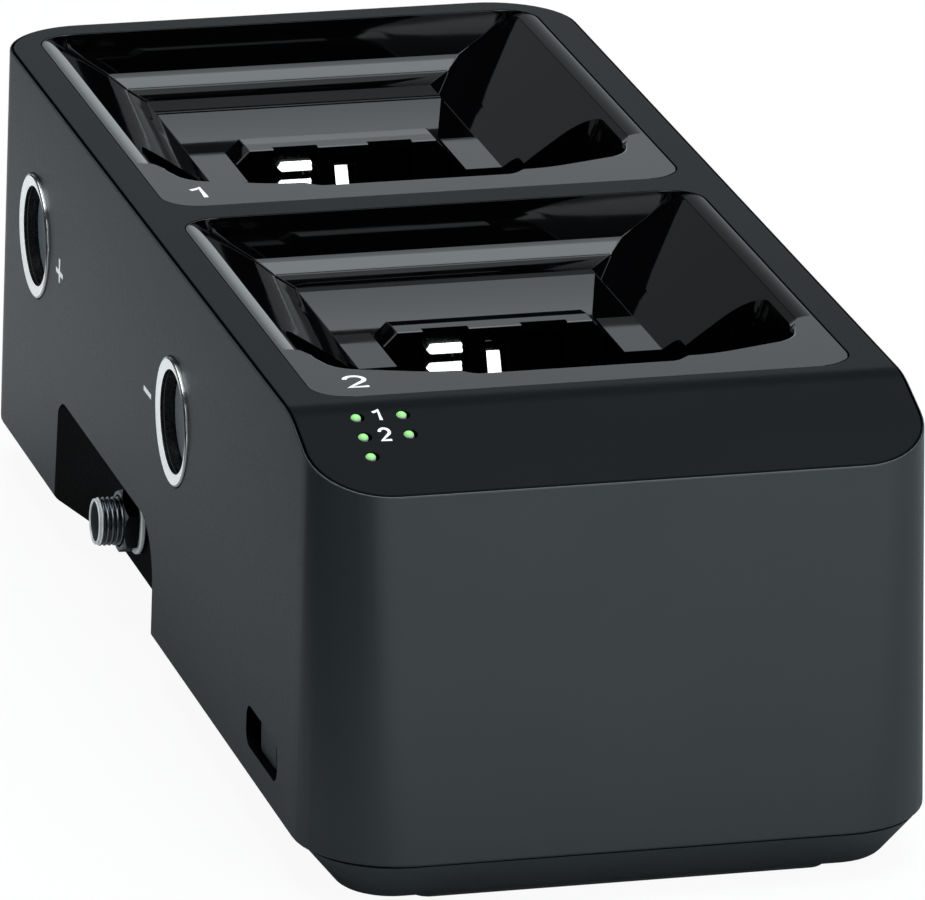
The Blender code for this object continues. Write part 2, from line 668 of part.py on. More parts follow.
def trough_points(grow):
    """Corners of the sloping floor behind the contact block."""
    back = HOPPER_FLOOR_BACK + grow
    front = BLOCK_BACK + (0.0 if grow == 0 else -grow)
    half = HOPPER_FLOOR_WIDTH / 2 + grow
    low_half = TROUGH_FLOOR_WIDTH / 2 + grow
    upper = [(half, front), (half, back)]
    return (both_sides(upper, -HOPPER_DEPTH + OVERLAP) + both_sides(upper, -HOPPER_DEPTH - grow)
            + both_sides([(low_half, front)], -TROUGH_DEPTH - grow))


def deep_block(half, front, back, depth, top):
    return block((-half, front, -depth), (half, back, top))


def make_well(bay, origin):
    extra = bay_extra(bay)
    length = BAY_LENGTH + extra
    collar = rounded_block(BAY_WIDTH - 2 * GAP, length - 2 * GAP, -WELL_COLLAR_DEPTH, 0, BAY_CORNER - GAP)
    well = hang(part(f"bay_{bay}_well", moved(collar, shift(0, length / 2, 0)), GLOSS_BLACK), origin)

    def local(name, bm):
        return hang(tool(f"bay_{bay}_{name}", bm), origin)

    flange = rounded_block(BAY_WIDTH + 2 * FLANGE_REACH, length + 2 * FLANGE_REACH, -WELL_COLLAR_DEPTH,
                           -WELL_FLANGE_DEPTH, BAY_CORNER + FLANGE_REACH)
    outer_half = CHANNEL_WIDTH / 2 + WELL_WALL
    deep_bottom = CHANNEL_DEPTH + WELL_WALL
    under = -WELL_COLLAR_DEPTH + OVERLAP
    join(well, local("flange", moved(flange, shift(0, length / 2, 0))))
    join(well, local("hopper_outside", hull(hopper_points(WELL_WALL, under, extra))))
    join(well, local("trough_outside", hull(trough_points(WELL_WALL))))
    join(well, local("deep_outside", deep_block(outer_half, LIP_LENGTH - WELL_WALL, BLOCK_BACK + WELL_WALL,
                                                deep_bottom, under)))
    for side, word in ((-1, "left"), (1, "right")):
        scoop = cylinder(SCOOP_RADIUS + WELL_WALL / 2, -SCOOP_DEPTH - WELL_WALL, under, 24,
                         SCOOP_FOOT_RADIUS + WELL_WALL)
        join(well, local(f"scoop_outside_{word}", moved(scoop, shift(side * SCOOP_OFFSET, SCOOP_CENTRE, 0))))
    cut(well, local("hopper", hull(hopper_points(0.0, OVERLAP, extra))))
    cut(well, local("trough", hull(trough_points(0.0))))
    cut(well, local("lip_recess", deep_block(LIP_RECESS_WIDTH / 2, LIP_LENGTH, CHANNEL_BACK - OVERLAP,
                                             CHANNEL_DEPTH, OVERLAP)))
    cut(well, local("channel", deep_block(CHANNEL_WIDTH / 2, CHANNEL_FRONT, CHANNEL_BACK, CHANNEL_DEPTH,
                                          -HOPPER_DEPTH / 3)))
    cut(well, local("pocket", deep_block(POCKET_WIDTH / 2, CHANNEL_BACK - OVERLAP, BLOCK_BACK + GAP,
                                         CHANNEL_DEPTH, OVERLAP)))
    for side, word in ((-1, "left"), (1, "right")):
        scoop = cylinder(SCOOP_RADIUS, -SCOOP_DEPTH, OVERLAP, 24, SCOOP_FOOT_RADIUS)
        cut(well, local(f"scoop_{word}", moved(scoop, shift(side * SCOOP_OFFSET, SCOOP_CENTRE, 0))))


def make_contact_block(bay, origin):
    half = BLOCK_TOP_WIDTH / 2
    foot_half = half + BLOCK_CHAMFER
    top = -BLOCK_TOP_DEPTH
    floor = -CHANNEL_DEPTH + GAP
    corners = [(half, top), (foot_half, top - BLOCK_CHAMFER), (foot_half, floor)]
    section = corners + [(-x, z) for x, z in reversed(corners)]
    bm = outline(f"bay_{bay}_block_outline", section, BLOCK_LENGTH)
    moved(bm, turn(math.pi / 2, "X"), shift(0, BLOCK_FRONT + BLOCK_LENGTH / 2, 0))
    carrier = hang(part(f"bay_{bay}_contact_block", bm, MATT_BLACK), origin)
    slots = [(-SLOT_OFFSET, SLOT_WIDTH, 0.0, "left"), (SLOT_OFFSET, SLOT_WIDTH, 0.0, "right"),
             (0.0, BLADE_SLOT_WIDTH, -BLADE_SLOT_TOP, "blade")]
    for x, width, slot_top, word in slots:
        slot = block((x - width / 2, BLOCK_FRONT - OVERLAP, -SLOT_DEPTH),
                     (x + width / 2, BLOCK_FRONT + SLOT_LENGTH, slot_top))
        cut(carrier, hang(tool(f"bay_{bay}_{word}_slot", slot), origin))


def contact(name, x, top_depth, nose_width, tail_width, height, origin):
    """A sprung contact: a tail that fills its slot and a narrower nose in front of the block."""
    back = BLOCK_FRONT + SLOT_LENGTH - CONTACT_TRAVEL - GAP
    nose = BLOCK_FRONT - CONTACT_PROUD
    neck = min(back - OVERLAP, nose + CONTACT_LENGTH / 2)
    low, high = -top_depth - height, -top_depth
    sections = [(nose_width / 2, nose, height / 4), (tail_width / 2, neck, 0.0), (tail_width / 2, back, 0.0)]
    points = []
    for half, y, ease in sections:
        for side in (-half, half):
            points += [(side, y, low + ease), (side, y, high - ease)]
    middle = Vector((x, (nose + back) / 2, (low + high) / 2))
    bm = hull([Vector(p) + Vector((x, 0, 0)) - middle for p in points])
    piece = hang(part(name, bm, NICKEL), origin)
    piece.location = middle
    return piece


def make_contacts(bay, origin):
    tail = SLOT_WIDTH - 2 * GAP
    upper = PAD_DEPTH - PAD_HEIGHT / 2
    lower = upper + PAD_PITCH
    contact(f"bay_{bay}_upper_contact", -SLOT_OFFSET, upper, PAD_NOSE_WIDTH, tail, PAD_HEIGHT, origin)
    contact(f"bay_{bay}_lower_contact", -SLOT_OFFSET, lower, PAD_NOSE_WIDTH, tail, PAD_HEIGHT, origin)
    contact(f"bay_{bay}_blade_contact", 0.0, BLADE_TOP_DEPTH, BLADE_NOSE_WIDTH, BLADE_SLOT_WIDTH - 2 * GAP,
            BLADE_HEIGHT, origin)


# Base

def make_base_tray():
    narrow = TRAY_LEAN
    straight_foot = WALL_FOOT
    upper = rounded_block(TRAY_WIDTH, TRAY_LENGTH, straight_foot - OVERLAP / 2, TRAY_TOP, TRAY_CORNER)
    tray = part("base_tray", upper, MATT_BLACK)
    lower = rounded_block(TRAY_WIDTH - 2 * TRAY_STEP, TRAY_LENGTH - 2 * TRAY_STEP, FOOT_HEIGHT, straight_foot,
                          TRAY_CORNER - TRAY_STEP, TRAY_STEP - narrow)
    join(tray, tool("tray_lower", lower))
    inner_width = TRAY_WIDTH - 2 * (narrow + TRAY_WALL)
    inner_length = TRAY_LENGTH - 2 * (narrow + TRAY_WALL)
    hollow = rounded_block(inner_width, inner_length, FOOT_HEIGHT + TRAY_FLOOR, TRAY_TOP + OVERLAP,
                           TRAY_CORNER - narrow - TRAY_WALL)
    cut(tray, tool("tray_hollow", hollow))
    for side in (-1, 1):
        for end in (-1, 1):
            tag = f"{'left' if side < 0 else 'right'}_{'front' if end < 0 else 'rear'}"
            place = shift(side * BOSS_X, end * BOSS_Y, 0)
            pillar = cylinder(BOSS_RADIUS, FOOT_HEIGHT + TRAY_FLOOR - OVERLAP, TRAY_TOP, 20)
            join(tray, tool(f"tray_pillar_{tag}", moved(pillar, place)))
            hole = cylinder(SCREW_RADIUS + GAP, 0, TRAY_TOP + OVERLAP, 16)
            head = cylinder(SCREW_HEAD_RADIUS + GAP, 0, FOOT_HEIGHT + SCREW_HEAD_HEIGHT + 2 * GAP, 20)
            cut(tray, tool(f"tray_hole_{tag}", moved(hole, place)))
            cut(tray, tool(f"tray_head_{tag}", moved(head, place)))
            post_place = shift(side * STANDOFF_X, end * STANDOFF_Y, 0)
            post = cylinder(STANDOFF_RADIUS, FOOT_HEIGHT + TRAY_FLOOR - OVERLAP, BOARD_HEIGHT - GAP, 16)
            post_hole_low = BOARD_HEIGHT - BOARD_SCREW_LENGTH - 2 * GAP
            post_hole = cylinder(SCREW_RADIUS + GAP, post_hole_low, BOARD_TOP, 16)
            join(tray, tool(f"standoff_{tag}", moved(post, post_place)))
            cut(tray, tool(f"standoff_hole_{tag}", moved(post_hole, post_place)))
    way_inner = RECESS_PANEL_X + RECESS_WALL + CABLE_WAY_INSET
    way = block((-CASE_FOOT_WIDTH, RECESS_FRONT_Y - RECESS_WALL - GAP, -OVERLAP),
                (way_inner, RECESS_BACK_Y + CABLE_WAY_REAR, TRAY_TOP + OVERLAP))
    cut(tray, tool("tray_cable_way", way))
    cut(tray, tool("tray_switch_notch", switch_body_block(GAP)))
    for end, word in ((-1, "front"), (1, "rear")):
        cut(tray, tool(f"foot_groove_{word}", foot_strip(end, GAP, FOOT_HEIGHT + FOOT_GROOVE + GAP)))


def foot_strip(end, grow, top):
    """A strip along the front or rear edge of the tray's underside."""
    half = TRAY_WIDTH / 2 - TRAY_LEAN - FOOT_SIDE_INSET + grow
    outer = TRAY_LENGTH / 2 - TRAY_LEAN - FOOT_INSET
    strip = rounded_block(2 * half, FOOT_WIDTH + 2 * grow, -grow, top, FOOT_WIDTH / 3)
    return moved(strip, shift(0, end * (outer - FOOT_WIDTH / 2), 0))


def make_feet():
    for end, word in ((-1, "front"), (1, "rear")):
        part(f"{word}_foot_strip", foot_strip(end, 0.0, FOOT_HEIGHT + FOOT_GROOVE), RUBBER)


def screw_profile(length):
    """Head at the top, shank below."""
    return [(0, SCREW_HEAD_HEIGHT), (SCREW_HEAD_RADIUS * 0.8, SCREW_HEAD_HEIGHT),
            (SCREW_HEAD_RADIUS, SCREW_HEAD_HEIGHT * 0.6), (SCREW_HEAD_RADIUS, 0), (SCREW_RADIUS, 0),
            (SCREW_RADIUS, -length), (0, -length)]


def make_screws():
    number = 0
    for side in (-1, 1):
        for end in (-1, 1):
            number += 1
            base = turned(f"base_screw_{number}", screw_profile(SCREW_LENGTH), STEEL, 16)
            placed(base, side * BOSS_X, end * BOSS_Y, FOOT_HEIGHT + SCREW_HEAD_HEIGHT + GAP, (math.pi, 0, 0))
            board = turned(f"board_screw_{number}", screw_profile(BOARD_SCREW_LENGTH), STEEL, 16)
            placed(board, side * STANDOFF_X, end * STANDOFF_Y, BOARD_TOP + GAP)


# Electronics

def make_main_board():
    board = part("main_board", block((-BOARD_WIDTH / 2, -BOARD_LENGTH / 2, BOARD_HEIGHT),
                                     (BOARD_WIDTH / 2, BOARD_LENGTH / 2, BOARD_TOP)), COPPER_BOARD)
    for side in (-1, 1):
        for end in (-1, 1):
            hole = cylinder(SCREW_RADIUS + GAP, BOARD_HEIGHT - OVERLAP, BOARD_TOP + OVERLAP, 16)
            place = shift(side * STANDOFF_X, end * STANDOFF_Y, 0)
            cut(board, tool(f"board_hole_{side}_{end}", moved(hole, place)))
    for number, end in ((1, 1), (2, -1)):
        seat = BOARD_TOP + GAP
        coil = turned(f"charge_coil_{number}", [(COIL_RADIUS, COIL_HEIGHT), (COIL_RADIUS, 0), (COIL_BORE, 0),
                                                (COIL_BORE, COIL_HEIGHT)], FERRITE, 24)
        placed(coil, COIL_RADIUS * 1.5, end * COIL_PLACE, seat)
        can_profile = [(0, CAPACITOR_HEIGHT), (CAPACITOR_RADIUS * 0.9, CAPACITOR_HEIGHT),
                       (CAPACITOR_RADIUS, CAPACITOR_HEIGHT * 0.95), (CAPACITOR_RADIUS, 0), (0, 0)]
        can = turned(f"capacitor_{number}", can_profile, CAN_ALUMINIUM, 20)
        placed(can, -CAPACITOR_SPACING, end * COIL_PLACE, seat)


# Supply jack

def make_jack():
    seat = GAP
    washer_top = seat + WASHER_THICKNESS
    nut_low = washer_top + GAP
    hole = JACK_RADIUS + GAP
    washer = turned("jack_washer", [(WASHER_RADIUS, washer_top), (WASHER_RADIUS, seat), (hole, seat),
                                    (hole, washer_top)], NICKEL, 32)
    hang(washer, JACK_AXIS)
    nut = cylinder(NUT_FLATS / math.sqrt(3), nut_low, nut_low + NUT_THICKNESS, 6)
    nut_part = hang(part("jack_nut", nut, NICKEL), JACK_AXIS)
    cut(nut_part, hang(tool("nut_hole", cylinder(hole, 0, nut_low + 2 * NUT_THICKNESS, 24)), JACK_AXIS))
    behind = -RECESS_WALL - GAP
    profile = [(JACK_BORE, JACK_REACH), (JACK_RADIUS - JACK_THREAD_DEPTH, JACK_REACH)]
    height = JACK_REACH - JACK_THREAD_PITCH / 2
    for _ in range(JACK_THREAD_COUNT):
        profile += [(JACK_RADIUS, height), (JACK_RADIUS, height - JACK_THREAD_PITCH / 3),
                    (JACK_RADIUS - JACK_THREAD_DEPTH, height - JACK_THREAD_PITCH * 0.55)]
        height -= JACK_THREAD_PITCH
    pin_hole = JACK_PIN_RADIUS + GAP
    pin_foot = JACK_REACH - JACK_PIN_LENGTH
    bore_floor = behind
    profile += [(JACK_RADIUS, height), (JACK_RADIUS, behind - OVERLAP), (pin_hole, behind - OVERLAP),
                (pin_hole, bore_floor), (JACK_BORE, bore_floor)]
    bushing = hang(turned("jack_bushing", profile, NICKEL, 32), JACK_AXIS)
    half = JACK_BODY_WIDTH / 2
    body = part("jack_body", block((-half, -half, behind - OVERLAP - GAP - JACK_BODY_LENGTH),
                                   (half, half, behind - OVERLAP - GAP)), MATT_BLACK)
    hang(body, JACK_AXIS)
    cut(body, hang(tool("jack_pin_hole", cylinder(pin_hole, pin_foot - GAP, 0, 16)), JACK_AXIS))
    pin = part("jack_pin", cylinder(JACK_PIN_RADIUS, pin_foot, JACK_REACH - JACK_PIN_RADIUS * 2, 16), NICKEL)
    hang(pin, JACK_AXIS)
    return bushing


# Links between neighbouring chargers

def make_links():
    wall = wall_half_width(LINK_Z)
    inner_face = wall_half_width(LINK_Z + RING_RADIUS) - WALL_THICKNESS - GAP
    for row, y in enumerate(LINK_ROWS, 1):
        back = wall + RING_PROUD - RING_THICKNESS
        face = wall + RING_PROUD
        bevel = (RING_RADIUS - RING_BORE) / 5
        ring = turned(f"link_ring_{row}", [(RING_RADIUS - bevel / 2, face), (RING_RADIUS, face - bevel / 2),
                                           (RING_RADIUS, back), (RING_BORE, back), (RING_BORE, face - bevel),
                                           (RING_BORE + bevel, face)], NICKEL)
        placed(ring, 0, y, LINK_Z, (0, -math.pi / 2, 0))
        cup_radius = RING_BORE + CUP_WALL
        cup_back = inner_face - CUP_LENGTH
        cup_profile = [(0, cup_back + CUP_FLOOR), (RING_BORE, cup_back + CUP_FLOOR), (RING_BORE, inner_face),
                       (cup_radius, inner_face), (cup_radius, cup_back), (0, cup_back)]
        cup = turned(f"link_cup_{row}", cup_profile, MATT_BLACK, 32)
        placed(cup, 0, y, LINK_Z, (0, -math.pi / 2, 0))
        disc_low = cup_back + CUP_FLOOR + GAP
        disc_radius = RING_BORE - GAP
        disc_top = disc_low + DISC_THICKNESS
        disc_profile = [(0, disc_top), (disc_radius, disc_top), (disc_radius, disc_low), (0, disc_low)]
        disc = turned(f"link_disc_{row}", disc_profile, STEEL, 32)
        placed(disc, 0, y, LINK_Z, (0, -math.pi / 2, 0))
        flange_low = inner_face - PAD_FLANGE_THICKNESS
        pad = turned(f"link_pad_{row}", [(0, wall + PAD_PROUD), (PAD_RADIUS, wall + PAD_PROUD),
                                         (PAD_RADIUS, inner_face), (PAD_FLANGE_RADIUS, inner_face),
                                         (PAD_FLANGE_RADIUS, flange_low), (0, flange_low)], NICKEL, 32)
        placed(pad, 0, y, LINK_Z, (0, math.pi / 2, 0))


# Slide switch

def slider_plate_face():
    """Distance of the slider plate's outer face from the middle of the case."""
    return wall_half_width(SWITCH_Z + SLIDER_PLATE_WIDTH) - WALL_THICKNESS - GAP


def switch_channel():
    """Front, back and half height of the channel that the slider plate runs in."""
    reach = SLIDER_TRAVEL + SLIDER_PLATE_LENGTH / 2 + GAP
    return SWITCH_Y - reach, SWITCH_Y + reach, SLIDER_PLATE_WIDTH / 2 + GAP


def switch_body_block(grow):
    front, back, half = switch_channel()
    rim = SWITCH_BODY_WALL + grow
    face = -slider_plate_face()
    return block((face - 10 * grow, front - rim, SWITCH_Z - half - rim),
                 (face + SWITCH_BODY_DEPTH + grow, back + rim, SWITCH_Z + half + rim))


def make_switch():
    wall = wall_half_width(SWITCH_Z)
    knob_half = SWITCH_SLOT_WIDTH / 2 - GAP
    plate_face = slider_plate_face()
    plate_back = plate_face - SLIDER_PLATE_THICKNESS
    knob = rounded_block(SLIDER_LENGTH, 2 * knob_half, plate_back + OVERLAP / 2, wall - SLIDER_SUNK,
                         SLIDER_CORNER)
    axes = Matrix(((0, 0, -1, 0), (1, 0, 0, 0), (0, -1, 0, 0), (0, 0, 0, 1)))
    slider = part("switch_slider", moved(knob, axes), CASE_GREY)
    plate = block((-SLIDER_PLATE_LENGTH / 2, -SLIDER_PLATE_WIDTH / 2, plate_back),
                  (SLIDER_PLATE_LENGTH / 2, SLIDER_PLATE_WIDTH / 2, plate_face))
    plate_tool = tool("slider_plate", moved(plate, axes))
    for piece in (slider, plate_tool):
        placed(piece, 0, SWITCH_Y, SWITCH_Z)
    join(slider, plate_tool)
    front, back, half = switch_channel()
    body = part("switch_body", switch_body_block(0.0), MATT_BLACK)
    cut(body, tool("slider_channel", block((-wall, front, SWITCH_Z - half),
                                           (-plate_back + GAP, back, SWITCH_Z + half))))


JACK_PLACE = (RECESS_PANEL_X + JACK_HEIGHT * math.tan(JACK_TILT), RECESS_FRONT_Y + JACK_FROM_FRONT,
              WALL_FOOT + JACK_HEIGHT)
JACK_AXIS = empty("jack_axis", JACK_PLACE, (0, -math.pi / 2 + JACK_TILT, 0))
bpy.context.view_layer.update()
make_case_shell()
make_top_bezel()
make_lights()
for bay_number in range(1, BAY_COUNT + 1):
    bay_origin = empty(f"bay_{bay_number}_origin", (0, bay_front(bay_number), TOP))
    make_well(bay_number, bay_origin)
    make_contact_block(bay_number, bay_origin)
    make_contacts(bay_number, bay_origin)
make_base_tray()
make_feet()
make_screws()
make_main_board()
make_jack()
make_links()
make_switch()
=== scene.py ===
"""Looks of the two-bay docking charger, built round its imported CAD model.

The shapes below are drawn in millimetres and set down in metres. +X is right, +Y the rear, +Z up.
Inside a bay, x runs across it, y back from its front edge, and z down from the bezel's face.
"""
import math

import bmesh
import bpy
from mathutils import Matrix, Vector


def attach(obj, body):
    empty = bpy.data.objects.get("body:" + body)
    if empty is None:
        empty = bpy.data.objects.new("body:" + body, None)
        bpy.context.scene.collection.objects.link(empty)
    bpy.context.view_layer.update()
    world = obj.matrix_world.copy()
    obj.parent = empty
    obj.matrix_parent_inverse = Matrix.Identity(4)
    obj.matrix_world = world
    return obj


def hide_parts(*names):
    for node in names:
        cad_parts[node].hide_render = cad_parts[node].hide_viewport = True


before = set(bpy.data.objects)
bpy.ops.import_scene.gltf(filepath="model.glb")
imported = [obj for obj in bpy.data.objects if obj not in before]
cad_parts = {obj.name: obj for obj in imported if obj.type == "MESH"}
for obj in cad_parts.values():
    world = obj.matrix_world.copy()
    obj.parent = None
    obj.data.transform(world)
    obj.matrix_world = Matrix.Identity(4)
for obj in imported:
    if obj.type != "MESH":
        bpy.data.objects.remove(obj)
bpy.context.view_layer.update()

MM = 0.001

# Case, in millimetres
HALF_WIDTH = 48.5
HALF_LENGTH = 116.0         # from the middle to the rear wall
CORNER = 14.3               # of the rear corners at the top
FRONT_HALF = 115.45         # from the middle to the front wall, before it leans
FRONT_CORNER = 11.6
FRONT_GROWTH = 3.4          # the front corners are this much rounder at the foot
FRONT_LEAN = 4.48           # the front wall leans back this much more than the others
TOP = 72.5                  # bezel's face
FOOT = 7.7                  # lower edge of the walls
DRAFT = math.tan(math.radians(1.026))
WALL = 2.4
GAP = 0.3
SEAM = 0.2                  # drop from the bezel's face to the top of the walls
RIM = 0.2                   # thickness of the walls' top edge, outside the seam
SEAM_WIDTH, SEAM_DEPTH = 0.42, 0.8
SEAM_GAP = 0.1
SEAM_SHIFT = 0.24           # the bezel stands forward in its seam
BEZEL_DEPTH = 3.0
EDGE = 0.14                 # rounding of the bezel's outer edge
SLOPE_START = -90.0
SLOPE_FALL = 0.331          # drop of the front slope per millimetre
FRONT_FALL = 7.15           # and at the front wall
BEND = 3.0                  # half the length over which the slope begins
OUTER, INNER = 0, 1         # finishes of a piece: its face, and what is cut into it

# Bays
BAY_FRONTS = {1: 13.1, 2: -84.9}
BAY_HALF = 42.8
BAY_LENGTH = 91.7
BAY_EXTRA = {1: 5.5, 2: 0.0}    # the rear bay is longer, behind its contacts
BAY_CORNER = 6.0
CORNER_STEPS = 12
TURN_STEPS = 72
SMALL_STEPS = 32            # sides of the smallest turned pieces
WELD = 1e-4                 # points nearer than this are one
PAST = 5.0                  # how far a cutter runs past what it cuts


# Materials

CLOUD = 18.0                # size of the slow change in a surface's colour, in mm
GRAIN_SPREAD = (0.3, 0.7)   # most of a noise texture's values lie between these


def colour(code):
    """sRGB hex to linear red, green, blue and alpha."""
    parts = [int(code[i:i + 2], 16) / 255 for i in (0, 2, 4)]
    linear = [p / 12.92 if p <= 0.04045 else ((p + 0.055) / 1.055) ** 2.4 for p in parts]
    return (*linear, 1.0)


def add_node(tree, kind, sockets=None, **settings):
    """Adds a node, sets it, and fills its sockets with values or with links from other sockets."""
    node = tree.nodes.new(kind)
    for name, value in settings.items():
        setattr(node, name, value)
    for name, value in (sockets or {}).items():
        if isinstance(value, bpy.types.NodeSocket):
            tree.links.new(value, node.inputs[name])
        else:
            node.inputs[name].default_value = value
    return node


def new_material(name):
    """An empty node tree with its output, and the Object coordinates that every pattern reads."""
    material = bpy.data.materials.new(name)
    material.use_nodes = True
    tree = material.node_tree
    tree.nodes.clear()
    output = add_node(tree, "ShaderNodeOutputMaterial")
    place = add_node(tree, "ShaderNodeTexCoord").outputs["Object"]
    return material, tree, output, place


def ramp(tree, value, before, after, kind="SMOOTHSTEP"):
    """A value carried from one range to another."""
    sockets = {"Value": value, "From Min": before[0], "From Max": before[1],
               "To Min": after[0], "To Max": after[1]}
    return add_node(tree, "ShaderNodeMapRange", sockets, interpolation_type=kind).outputs[0]


def finish_surface(name, dark, light, roughness, grain, depth, **settings):
    """A surface with a slow cloud in its colour and a fine grain, in mm, in its gloss and its relief."""
    material, tree, output, place = new_material(name)
    slow = add_node(tree, "ShaderNodeTexNoise", {"Vector": place, "Scale": 1 / (CLOUD * MM), "Detail": 3.0})
    fine = add_node(tree, "ShaderNodeTexNoise", {"Vector": place, "Scale": 1 / (grain * MM), "Detail": 2.0})
    tone = add_node(tree, "ShaderNodeMix", {0: slow.outputs[0], 6: colour(dark), 7: colour(light)},
                    data_type="RGBA")
    shine = ramp(tree, fine.outputs[0], GRAIN_SPREAD, roughness, "LINEAR")
    bump = add_node(tree, "ShaderNodeBump", {"Height": fine.outputs[0], "Distance": depth * MM})
    sockets = {"Base Color": tone.outputs[2], "Roughness": shine, "Normal": bump.outputs[0]}
    sockets.update(settings)
    shader = add_node(tree, "ShaderNodeBsdfPrincipled", sockets)
    tree.links.new(shader.outputs[0], output.inputs["Surface"])
    return material


def glowing(code, strength):
    return {"Emission Color": colour(code), "Emission Strength": strength}


# ABS moulded in a spark-eroded tool: a dark slate grey with a fine even grain and a satin sheen
case_abs = finish_surface("satin_case_abs", "1E2325", "23292B", (0.34, 0.44), 0.30, 0.007)
# The same ABS in a finer texture: the bezel is darker and smoother than the walls
bezel_abs = finish_surface("satin_bezel_abs", "131516", "161819", (0.20, 0.28), 0.24, 0.002,
                           **{"Specular IOR Level": 0.017})
# ABS moulded in a polished tool: deep black, mirror-like, with a very slight moulding ripple
gloss_abs = finish_surface("gloss_black_abs", "030304", "050506", (0.03, 0.06), 7.0, 0.003)
# Black nylon of the switch and jack bodies behind the openings, dull; the same near-black is painted shade
# on the faces cut into the walls, bezel and base
dull_nylon_and_painted_shade = finish_surface("dull_black_nylon", "020202", "040404", (0.55, 0.70), 0.40, 0.012,
                            **{"Specular IOR Level": 0.05})
# Dark grey ABS of the base: near the walls' colour, with a duller skin
base_abs = finish_surface("dull_base_abs", "262B2D", "2C3133", (0.5, 0.62), 0.40, 0.012,
                          **{"Specular IOR Level": 0.4})
# Nickel plate on turned brass: bright, with fine turning marks and a faint warm cloud
nickel = finish_surface("nickel_plate", "E2E2DF", "EEEEEC", (0.14, 0.22), 0.6, 0.0005, Metallic=1.0)
# The same plate, satin where it is turned and not polished, made nearly white and almost matt: a lit copy of
# it, painted sheen
PAINTED_SHEEN_PLATE = ("F2F2F0", "FBFBFA", (0.3, 0.4), 0.6, 0.0006)
nickel_painted_sheen = finish_surface("satin_nickel_plate", *PAINTED_SHEEN_PLATE, Metallic=0.08)
# The satin plate on the link collars: nearly white, with a faint painted glow that stands in for the light
# from the side
collar_nickel_painted_glow = finish_surface("collar_nickel_painted_glow", *PAINTED_SHEEN_PLATE, Metallic=0.08, **glowing("F4F5F5", 0.24))
# Nickel on the jack's threads and nut: polished, and darkened as painted shade
jack_nickel_painted_shade = finish_surface("jack_nickel_painted_shade", "83868A", "94979A", (0.16, 0.22), 0.6, 0.0003, Metallic=1.0)
# Inside of the jack: the same plate, duller and darkened as painted shade
bore_nickel_painted_shade = finish_surface("bore_nickel_painted_shade", "54575A", "626568", (0.28, 0.36), 0.6, 0.0004, Metallic=0.35)
# Black ABS of the link cups: half gloss; the same black is painted shade in the bores of the collars
cup_abs_and_painted_shade = finish_surface("cup_abs_and_painted_shade", "070809", "0A0B0C", (0.22, 0.3), 0.4, 0.003)
# Painted face of the plate at the bottom of a link cup: mid grey, with a soft sheen
plate_grey = finish_surface("plate_grey", "70767A", "7C8286", (0.3, 0.4), 0.6, 0.002)
# Silver plate on the charging contacts: wiped bright by use, so nearly white
silver = finish_surface("silver_plate", "F6F6F4", "FCFCFB", (0.24, 0.32), 0.4, 0.0008, Metallic=1.0)
# Zinc-plated steel: greyer than nickel, with a coarser grain
zinc_steel = finish_surface("zinc_steel", "8E9194", "A3A6A8", (0.30, 0.45), 0.6, 0.002, Metallic=1.0)
# Moulded rubber: grey-black and quite dull
foot_rubber = finish_surface("foot_rubber", "2B2C2D", "333435", (0.75, 0.9), 0.5, 0.02)
# Screen-printed white ink: flat, with a faint painted glow that keeps it white on the walls
white_ink_painted_glow = finish_surface("white_ink_painted_glow", "E4E6E6", "F2F3F3", (0.5, 0.6), 0.3, 0.002,
                           **glowing("F4F5F5", 0.18))
# Light pipe of milky green polycarbonate: smooth and pale, with a faint painted glow
green_lens_painted_glow = finish_surface("green_light_lens", "8AD477", "98DC88", (0.3, 0.4), 0.6, 0.001,
                            **glowing("8FD67C", 0.28))
# Clear skin at the edge of the light pipe: a pale grey-green ring
clear_rim = finish_surface("clear_light_rim", "B4BAB5", "C6CBC7", (0.2, 0.3), 0.6, 0.001)
# Solder mask over glass epoxy: green, half gloss
board_mask = finish_surface("board_solder_mask", "10402A", "165038", (0.3, 0.45), 1.2, 0.01)
# Sintered ferrite: charcoal and chalky
ferrite = finish_surface("ferrite", "3A3A3C", "444446", (0.7, 0.85), 0.5, 0.02)
# Drawn aluminium can: pale, with a fine drawn grain
can_aluminium = finish_surface("can_aluminium", "B9BBBD", "C9CBCC", (0.3, 0.4), 0.5, 0.001, Metallic=1.0)


# Modelling

SHARP_ANGLE = math.radians(35.0)    # edges sharper than this are rounded
CREASE_ANGLE = math.radians(32.0)   # and sharper than this are shaded as edges


def ring_points(corners, height):
    """Points of a flat ring through a few corners, each rounded by its own cut-back."""
    bm = bmesh.new()
    points = [bm.verts.new((x, y, height)) for x, y, _ in corners]
    bm.faces.new(points)
    for point, corner in zip(points, corners):
        bmesh.ops.bevel(bm, geom=[point], offset=corner[2], offset_type="OFFSET", segments=CORNER_STEPS,
                        profile=0.5, affect="VERTICES", clamp_overlap=False, material=-1)
    bm.faces.ensure_lookup_table()
    ring = [vert.co.copy() for vert in bm.faces[0].verts]
    bm.free()
    return ring


def loft(rings, turn=None, finish=OUTER):
    """A closed solid through rings of corners and height, turned by a matrix."""
    bm = bmesh.new()
    face = bm.faces.new([bm.verts.new(point) for point in ring_points(*rings[0])])
    for number, ring in enumerate(rings[1:]):
        grown = bmesh.ops.extrude_face_region(bm, geom=[face])["geom"]
        if number:
            bmesh.ops.delete(bm, geom=[face], context="FACES_ONLY")
        face = next(g for g in grown if isinstance(g, bmesh.types.BMFace))
        for vert, point in zip(face.verts, ring_points(*ring)):
            vert.co = point
    return done(bm, turn, finish)


def done(bm, turn=None, finish=OUTER):
    """Turns a solid into place, and points its faces outwards."""
    if turn is not None:
        bmesh.ops.transform(bm, matrix=turn, verts=bm.verts[:])
    bmesh.ops.recalc_face_normals(bm, faces=bm.faces[:])
    for face in bm.faces:
        face.material_index = finish
    return bm


